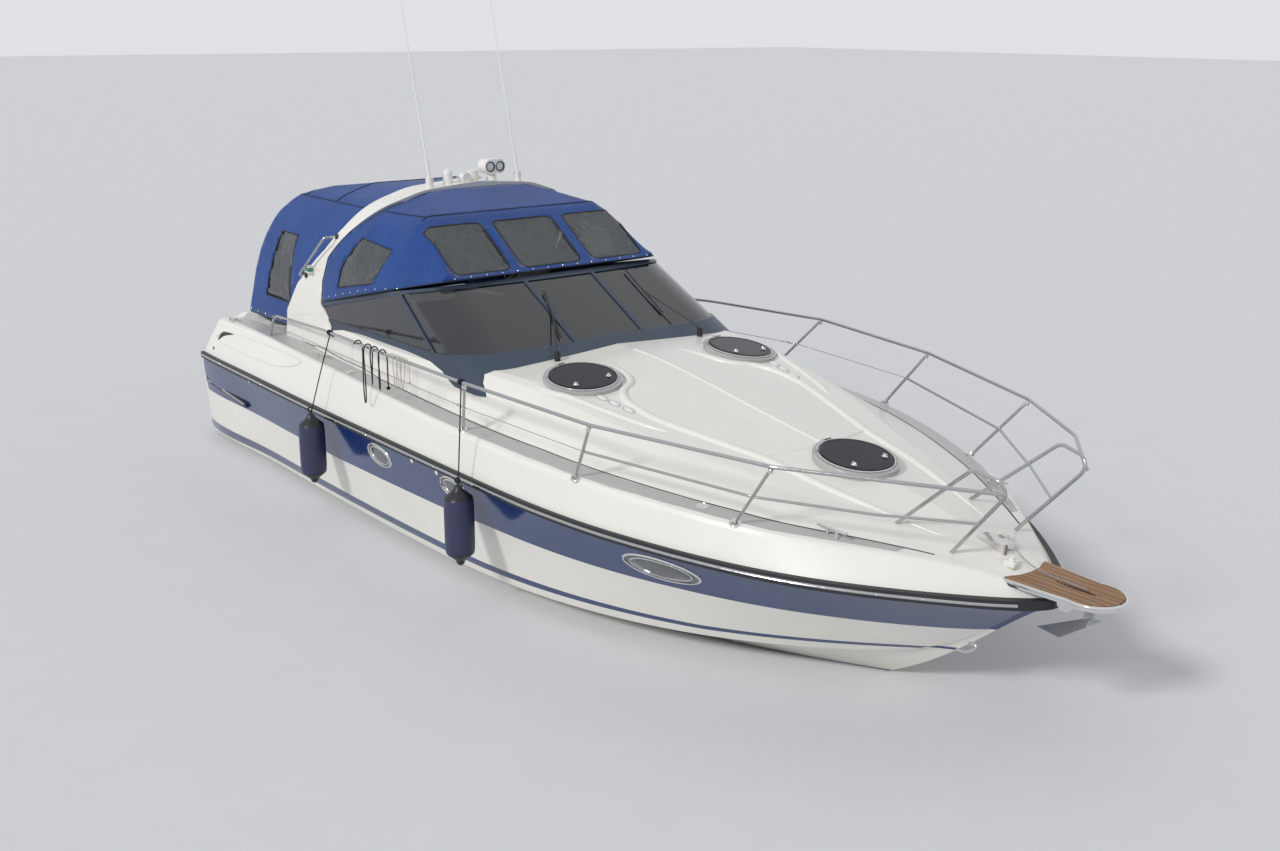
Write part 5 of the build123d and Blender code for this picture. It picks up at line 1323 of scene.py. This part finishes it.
    def studs(self, shop: Workshop) -> None:
        """Sets bright press studs along the skirts."""
        lines = []
        for hand in (-1, 1):
            places = [-2.28 + 0.04 * n for n in range(40)]
            front = [(x, 4.0 * hand, level(self.skirt, x) + 0.035) for x in places]
            rear = [(-3.86 + 0.03 * n, 4.0 * hand, 1.505) for n in range(34)]
            lines += [self.met(shop, "canopy_front", front, (0, -hand, 0)),
                self.met(shop, "canopy_aft", rear, (0, -hand, 0))]
        lines.append(self.met(shop, "canopy_aft", [(-8.0, -1.15 + 0.05 * n, 1.52) for n in range(47)], (1, 0, 0)))
        lines.append(self.met(shop, "canopy_front", [(3.0, -1.0 + 0.05 * n, 2.272) for n in range(41)], (-1, 0, 0)))
        row = Row(self.stud_gap, (0.0085, 0.0085, 0.0085))
        row.along(shop, "canopy_studs", [line for line in lines if len(line) > 1], CHROME, "stainless")


@dataclass
class Rails:
    """Joints, foot plates and turnbuckles of the guard rails."""

    feet: tuple[Point, ...] = ((3.199, 1.167, 1.246), (2.022, 1.551, 1.333), (0.664, 1.602, 1.350))
    heads: tuple[Point, ...] = ((3.607, 1.255, 1.746), (2.341, 1.668, 1.787), (1.041, 1.805, 1.820))
    wires: tuple[Point, ...] = ((2.181, 1.610, 1.560), (0.850, 1.703, 1.584))

    def build(self, shop: Workshop) -> None:
        """Builds collars, foot plates with screws, and turnbuckles."""
        collars, plates, screws = Shape(), Shape(), []
        for hand in (-1, 1):
            turned = [Vector((x, y * hand, z)) for x, y, z in self.heads + self.wires]
            for spot in turned[:3]:
                collars.lathe(((0.0, -0.020), (0.0155, -0.020), (0.0175, -0.016), (0.0175, 0.010), (0.0, 0.0105)),
                    spot - Vector((0.012, 0, 0.022)), (0.45, 0.1 * hand, 0.88), 18)
            for foot in self.feet:
                place, up = shop.down(foot[0], foot[1] * hand)
                plates.lathe(((0.0, -0.003), (0.038, -0.003), (0.040, 0.002), (0.034, 0.008), (0.020, 0.012),
                    (0.017, 0.030), (0.0, 0.031)), place, up, 28)
                circle = [place + up * 0.0075 + Vector(
                    (math.cos(a), math.sin(a), 0)) * 0.030 for a in [math.pi * n / 8 for n in range(17)]]
                screws.append(circle)
            a, b = turned[4], Vector((-3.08, 1.40 * hand, 1.48))
            way = (b - a).normalized()
            collars.lathe(((0.0, 0.0), (0.004, 0.0), (0.009, 0.008), (0.009, 0.075), (0.004, 0.083), (0.004, 0.120),
                (0.0075, 0.124), (0.0075, 0.150), (0.0, 0.151)), a + way * 0.03, way, 14)
            collars.lathe(((0.0, -0.014), (0.013, -0.010), (0.016, 0.0), (0.013, 0.010), (0.0, 0.014)), a, way, 16)
        shop.piece("rail_collars", collars, CHROME)
        shop.piece("rail_foot_plates", plates, CHROME)
        Row(0.0455, (0.0045, 0.0045, 0.0030)).along(shop, "rail_foot_screws", screws, STEEL, "stainless")


@dataclass
class BowGear:
    """The plank's bright rim, the chain and the fairlead."""

    centre: tuple[float, float, float] = (4.87, 0.0, 1.079)
    rim: float = 0.012

    def build(self, shop: Workshop) -> None:
        """Builds the bow's small gear."""
        rim = Shape()
        outline = []
        for angle in around(72):
            way = Vector((math.cos(angle), math.sin(angle), 0))
            found = shop.cast(("bow_platform_teak",), Vector(self.centre) + way * 3.0, -way)
            if found:
                outline.append(found[0] + way * (self.rim * 0.9) - Vector((0, 0, 0.010)))
        rim.tube(outline, self.rim, 10, closed=True)
        shop.piece("plank_rim", rim, CHROME)
        line = spline(((4.99, 0.0, 1.096), (4.86, 0.004, 1.096), (4.70, 0.014, 1.099), (4.56, 0.030, 1.118),
            (4.45, 0.050, 1.165), (4.385, 0.062, 1.215)), 6)
        Row(0.0255, (0.0072, 0.0072, 0.0150), math.pi / 2, Bead.LINK).along(shop, "anchor_chain",
            [line], ZINC, "galvanised")
        guide = Shape()
        place, up = shop.down(4.52, -0.10, ("deck", "bow_platform", "bow_platform_teak"))
        guide.block(place + up * 0.020, (0.085, 0.05, 0.04), 0.010)
        guide.lathe(((0.0, 0.0), (0.022, 0.0), (0.022, 0.018), (0.012, 0.026), (0.012, 0.042), (0.0, 0.043)),
            place + up * 0.038, up, 24)
        shop.piece("bow_fairlead", guide, PLASTIC)


@dataclass
class Cushions:
    """The cockpit's padded seats and backs."""

    pads: tuple[tuple[float, ...], ...] = (
        (-1.578, -1.185, -1.088, -0.268, 1.150, 0.100), (-1.6497, -1.580, -1.088, -0.268, 1.150, 0.470),
        (-3.658, -3.340, -1.088, 0.432, 1.060, 0.100), (-3.770, -3.660, -1.088, 0.432, 1.060, 0.340),
        (-1.992, -1.008, 0.648, 0.988, 1.060, 0.100), (-1.992, -1.008, 0.990, 1.090, 1.060, 0.340))
    names: tuple[str, ...] = ("helm_seat", "helm_back", "aft_seat", "aft_back", "port_seat", "port_back")
    voxel: float = 0.011
    shrink: float = 0.007
    cap: float = 0.010
    pressure: float = 4.0
    frames: int = 20
    fill: float = 0.7
    thin: float = 0.15

    def form(self, pad: tuple[float, ...]) -> bpy.types.Mesh:
        """Makes one pad's even closed mesh before it swells."""
        low = Vector((pad[0], pad[2], pad[4])) + Vector((1, 1, 0)) * self.shrink
        high = Vector((pad[1], pad[3], pad[4] + pad[5])) - Vector((1, 1, 1)) * self.shrink
        shape = Shape()
        shape.block((low + high) / 2, high - low, min(0.02, min(high - low) * 0.35))
        mesh = shape.mesh("pad")
        made = bpy.data.objects.new("pad", mesh)
        link(made)
        even = made.modifiers.new("even", "REMESH")
        even.mode, even.voxel_size = "VOXEL", self.voxel
        done = bpy.data.meshes.new_from_object(made.evaluated_get(bpy.context.evaluated_depsgraph_get()))
        bpy.data.objects.remove(made)
        return done

    def swell(self, made: bpy.types.Object) -> None:
        """Blows the pad up as cloth and caps how far each point moves."""
        start = [v.co.copy() for v in made.data.vertices]
        cloth = made.modifiers.new("cloth", "CLOTH")
        cloth.settings.use_pressure = True
        cloth.settings.uniform_pressure_force = self.pressure
        cloth.settings.effector_weights.gravity = 0.0
        cloth.point_cache.frame_end = self.frames
        scene = bpy.context.scene
        for frame in range(1, self.frames + 1):
            scene.frame_set(frame)
        seen = made.evaluated_get(bpy.context.evaluated_depsgraph_get())
        moved = [v.co.copy() for v in seen.data.vertices]
        made.modifiers.clear()
        scene.frame_set(1)
        floor = min(p.z for p in start)
        for vert, old, new in zip(made.data.vertices, start, moved):
            step = new - old
            if step.length > self.cap:
                step = step.normalized() * self.cap
            vert.co = old + step
            vert.co.z = max(vert.co.z, floor)

    def build(self, shop: Workshop) -> None:
        """Builds all the pads and their welts."""
        welts = Shape()
        for name, pad in zip(self.names, self.pads):
            mesh = self.form(pad)
            mesh.name = "cushion_" + name
            made = bpy.data.objects.new("cushion_" + name, mesh)
            link(made)
            self.swell(made)
            mesh.shade_smooth()
            soft = made.modifiers.new("soft", "SUBSURF")
            soft.levels = soft.render_levels = 1
            shop.adopt(made, SEAT, replaces=("cockpit_cushions",))
            tree = BVHTree.FromPolygons([v.co for v in mesh.vertices], [p.vertices for p in mesh.polygons])
            upright = pad[1] - pad[0] < self.thin or pad[3] - pad[2] < self.thin
            line = self.edge(pad, upright)
            welts.tube([tree.find_nearest(p)[0] for p in line], 0.0042, 6, closed=True)
        shop.piece("cushion_welts", welts, WELT)

    def edge(self, pad: tuple[float, ...], upright: bool) -> list[Vector]:
        """Gives the line of a pad's welt before it is laid on the pad."""
        x0, x1, y0, y1, z, h = pad
        if not upright:
            corners = ((x0, y0, z + h), (x1, y0, z + h), (x1, y1, z + h), (x0, y1, z + h))
        elif x1 - x0 < self.thin:
            corners = ((x1, y0, z), (x1, y1, z), (x1, y1, z + h), (x1, y0, z + h))
        else:
            corners = ((x0, y0, z), (x1, y0, z), (x1, y0, z + h), (x0, y0, z + h))
        line = []
        for a, b in zip(corners, corners[1:] + corners[:1]):
            line += [Vector(a).lerp(Vector(b), n / 24) for n in range(24)]
        return line


@dataclass
class Helm:
    """Dials and the throttle on the console."""

    normal: tuple[float, float, float] = (-0.676, 0.0, 0.737)
    slope: tuple[float, float, float] = (-0.737, 0.0, -0.676)
    face: tuple[float, float] = (-0.430, 1.668)
    lever_y: float = -0.315
    dials: tuple[tuple[float, float, float], ...] = ((-1.02, 0.16, 0.042), (-0.93, 0.16, 0.042), (-0.47, 0.16, 0.042),
        (-0.38, 0.16, 0.042), (-0.97, 0.26, 0.034), (-0.42, 0.26, 0.034))

    def build(self, shop: Workshop) -> None:
        """Builds the console's instruments."""
        up = Vector(self.normal)
        down = Vector(self.slope)
        faces, rims = Shape(), Shape()
        for y, along, radius in self.dials:
            spot = Vector((self.face[0], y, self.face[1])) + down * along
            faces.lathe(((0.0, -0.001), (radius * 0.93, -0.001), (radius * 0.93, 0.004), (0.0, 0.006)), spot, up, 28)
            rims.lathe(((radius * 0.92, -0.001), (radius, -0.001), (radius * 1.04, 0.004), (radius, 0.010),
                (radius * 0.94, 0.008), (radius * 0.92, 0.003)), spot, up, 28)
        shop.piece("helm_dials", faces, PANEL)
        shop.piece("helm_dial_rims", rims, CHROME)
        lever = Shape()
        base = Vector((self.face[0], self.lever_y, self.face[1])) + down * 0.05
        lever.block(base + up * 0.012, (0.07, 0.05, 0.024), 0.006, up.to_track_quat("Z", "X").to_matrix())
        lever.tube(spline((base + up * 0.02, base + up * 0.07 + down * 0.01, base + up * 0.13 + down * 0.03), 5),
            [0.007] * 10 + [0.011], 12)
        shop.piece("throttle", lever, CHROME)


@dataclass
class CockpitTrim:
    """Lifting rings, latch and pull of the cockpit's moving panels."""

    def build(self, shop: Workshop) -> None:
        """Builds the rings, the gate's latch and the door's pull."""
        ring = Shape()
        for y in (-0.40, 0.40):
            place, up = shop.down(-2.24, y, ("engine_hatch",))
            ring.lathe(((0.0, -0.001), (0.034, -0.001), (0.036, 0.002), (0.028, 0.004), (0.026, 0.001), (0.0, 0.001)),
                place, up, 28)
            loop = circle(place + up * 0.003, Vector((1, 0, 0)), Vector((0, 1, 0)), 0.020, 24)
            ring.tube(loop, 0.0028, 6, closed=True)
        shop.piece("sole_lifting_rings", ring, CHROME, "engine_hatch_body")
        latch = Shape()
        found = shop.cast(("transom_gate",), (-3.2, 0.60, 1.22), (-1, 0, 0))
        if found:
            latch.block(found[0] + found[1] * 0.006, (0.012, 0.07, 0.035), 0.004)
            latch.lathe(((0.0, 0.0), (0.012, 0.0), (0.013, 0.010), (0.0, 0.012)),
                found[0] + found[1] * 0.010, found[1], 18)
        shop.piece("gate_latch", latch, CHROME, "transom_gate_body")
        pull = Shape()
        seen = shop.cast(("companion_door",), (-0.6, -0.080, 1.15), (1, 0, 0))
        if seen:
            start, out = seen
            pull.tube(spline((start - Vector((0, 0, 0.05)), start + out * 0.018 - Vector((0, 0, 0.042)),
                start + out * 0.018 + Vector((0, 0, 0.042)), start + Vector((0, 0, 0.05))), 5), 0.004, 8)
        shop.piece("door_pull", pull, CHROME, "companion_door_body")


@dataclass
class RopeHank:
    """A rope hung in loops over the starboard rail, with its tail knotted."""

    name: str = "mooring_rope"
    thick: float = 0.011
    length: float = 2.96
    loops: tuple[tuple[float, float, float], ...] = (
        (-0.805, -0.640, 0.485), (-0.590, -0.500, 0.300), (-0.450, -0.325, 0.312))
    tail: float = 0.28
    finish: Finish = ROPE
    lead: float = 0.05
    turn: float = 0.045
    knot_for: float = 0.011

    def rail(self, x: float) -> Vector:
        """Gives the middle of the top rail at a place along the boat."""
        share = (x + 1.70) / 1.40
        return Vector((x, -1.560 - 0.170 * share, 1.700 + 0.075 * share))

    def route(self) -> list[Vector]:
        """Gives the rope's control points: over the rail, down, and up again for each loop.

        Returns:
            The points from the hitch on the rail to the knotted tail.
        """
        over = ((-0.027, 0.006, 0.2), (-0.014, 0.026, 0.4), (0.0, 0.030, 0.5), (0.014, 0.026, 0.6), (0.027, 0.006, 0.8))
        swing = ((0.024, 0.45, 0.0), (0.015, 0.80, 0.12), (0.008, 0.95, 0.28), (0.0, 1.0, 0.5),
                 (-0.008, 0.95, 0.72), (-0.015, 0.80, 0.88), (-0.024, 0.45, 1.0))
        before = self.loops[0][0] - self.lead
        points = [self.rail(before) + Vector((0, -0.0185, -0.004)), self.rail(before) + Vector((0.001, -0.026, 0.002))]
        for down, up, drop in self.loops:
            for across, high, share in over:
                points.append(self.rail(before + (down - before) * share) + Vector((0, across, high)))
            points.append(self.rail(down) + Vector((0, 0.030, -0.05)))
            for across, share, along in swing:
                points.append(self.rail(down + (up - down) * along) + Vector((0, across, -drop * share)))
            points.append(self.rail(up) + Vector((0, -0.030, -0.05)))
            before = up
        for across, high, share in over:
            points.append(self.rail(before + self.turn * share) + Vector((0, across, high)))
        for share in (0.15, 0.4, 0.7, 1.0):
            points.append(self.rail(before + self.turn) + Vector((0, 0.031, -self.tail * share)))
        return points

    def build(self, shop: Workshop) -> None:
        """Builds the rope and the knot at its end."""
        line = bpy.data.curves.new(self.name, "CURVE")
        line.dimensions, line.bevel_depth, line.bevel_resolution, line.use_fill_caps = "3D", self.thick / 2, 3, True
        line.resolution_u = 6
        thread = line.splines.new("NURBS")
        route = self.route()
        thread.points.add(len(route) - 1)
        for spot, place in zip(thread.points, route):
            spot.co = (*place, 1.0)
        thread.order_u, thread.use_endpoint_u = 3, True
        made = shop.adopt(bpy.data.objects.new(self.name, line), self.finish)
        knot, end, size = Shape(), route[-1], self.thick / self.knot_for
        ring = []
        for angle in around(40):
            reach = (0.010 + 0.004 * math.cos(3 * angle)) * size
            ring.append(end + Vector((math.cos(2 * angle) * reach, math.sin(2 * angle) * reach,
                                      (0.007 * math.sin(3 * angle) - 0.004) * size)))
        knot.tube(ring, self.thick / 2, 8, closed=True)
        tail = shop.piece(f"{self.name}_knot", knot, self.finish, angle=80)


LIGHT_LINE = RopeHank(
    "light_line", 0.006, 1.95, ((-0.075, -0.030, 0.236), (0.010, 0.050, 0.230), (0.080, 0.120, 0.227)), 0.16, CORD)


@dataclass
class Fenders:
    """Two hanging fenders with dark ends, eyes and lanyards."""

    places: tuple[tuple[float, ...], ...] = ((-1.530, -1.792, 0.400, -1.500, -1.584, 1.711),
        (0.900, -1.802, 0.400, 0.985, -1.802, 1.818))
    height: float = 0.62
    belly: float = 0.112
    rope: float = 0.005

    def build(self, shop: Workshop) -> None:
        """Builds the fenders, their ends and their lines."""
        body, ends, lines = Shape(), Shape(), Shape()
        tall, wide = self.height, self.belly
        for x, y, low, rail_x, rail_y, rail_z in self.places:
            foot = Vector((x, y, low))
            side = [(wide * 0.94, 0.098), (wide * 0.985, 0.125), (wide, 0.17), (wide, tall / 2), (wide, tall - 0.17),
                (wide * 0.985, tall - 0.125), (wide * 0.94, tall - 0.098)]
            body.lathe([(0.02, 0.10)] + side + [(0.02, tall - 0.10)], foot, sides=40)
            cone = ((0.0, 0.0), (0.022, 0.0), (0.030, 0.010), (0.034, 0.028), (0.060, 0.055), (wide * 0.90, 0.088),
                (wide * 0.955, 0.100), (wide * 0.90, 0.108), (0.02, 0.112))
            ends.lathe(cone, foot, sides=40)
            ends.lathe([(r, tall - h) for r, h in reversed(cone)], foot, sides=40)
            turn = around(20)
            for height in (0.012, tall - 0.012):
                ends.tube([foot + Vector((math.cos(a) * 0.017, 0.0, height + math.sin(a) * 0.017)) for a in turn],
                    0.007, 8, closed=True)
            top = foot + Vector((0, 0, tall - 0.01))
            rail = Vector((rail_x, rail_y, rail_z))
            lines.tube([top, top.lerp(rail, 0.5), rail - Vector((0, 0, 0.02))], self.rope, 8)
            for turns, where in ((3.5, rail), (2.0, top + Vector((0, 0, 0.045)))):
                wrap = []
                for n in range(int(turns * 12)):
                    a = 2 * math.pi * n / 12
                    wrap.append(where + Vector((-0.018 + 0.011 * n / 12, math.cos(a) * 0.019, math.sin(a) * 0.019)))
                lines.tube(wrap, self.rope, 6)
        shop.piece("fender_bodies", body, FENDER, replaces=("fenders",), angle=60)
        shop.piece("fender_ends", ends, FENDER_END, angle=60)
        shop.piece("fender_lines", lines, ROPE)


def main() -> None:
    """Loads the frame, dresses it and builds every sub-assembly in order."""
    logging.basicConfig(level=logging.INFO, format="%(name)s: %(message)s")
    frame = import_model()
    shop = Workshop(frame["nodes"])
    Studio().build()
    shop.dress()
    builders: list[object] = [
        HullTrim(), DeckTrim(), DeckHatches(), ArchGear(), Canopies(), Rails(), BowGear(), Cushions(), Helm(),
        CockpitTrim(), Fenders(), RopeHank(), LIGHT_LINE]
    for builder in builders:
        builder.build(shop)
        log.info("%s done", type(builder).__name__)
    log.info("%d pieces", shop.count)


if __name__ == "__main__":
    main()
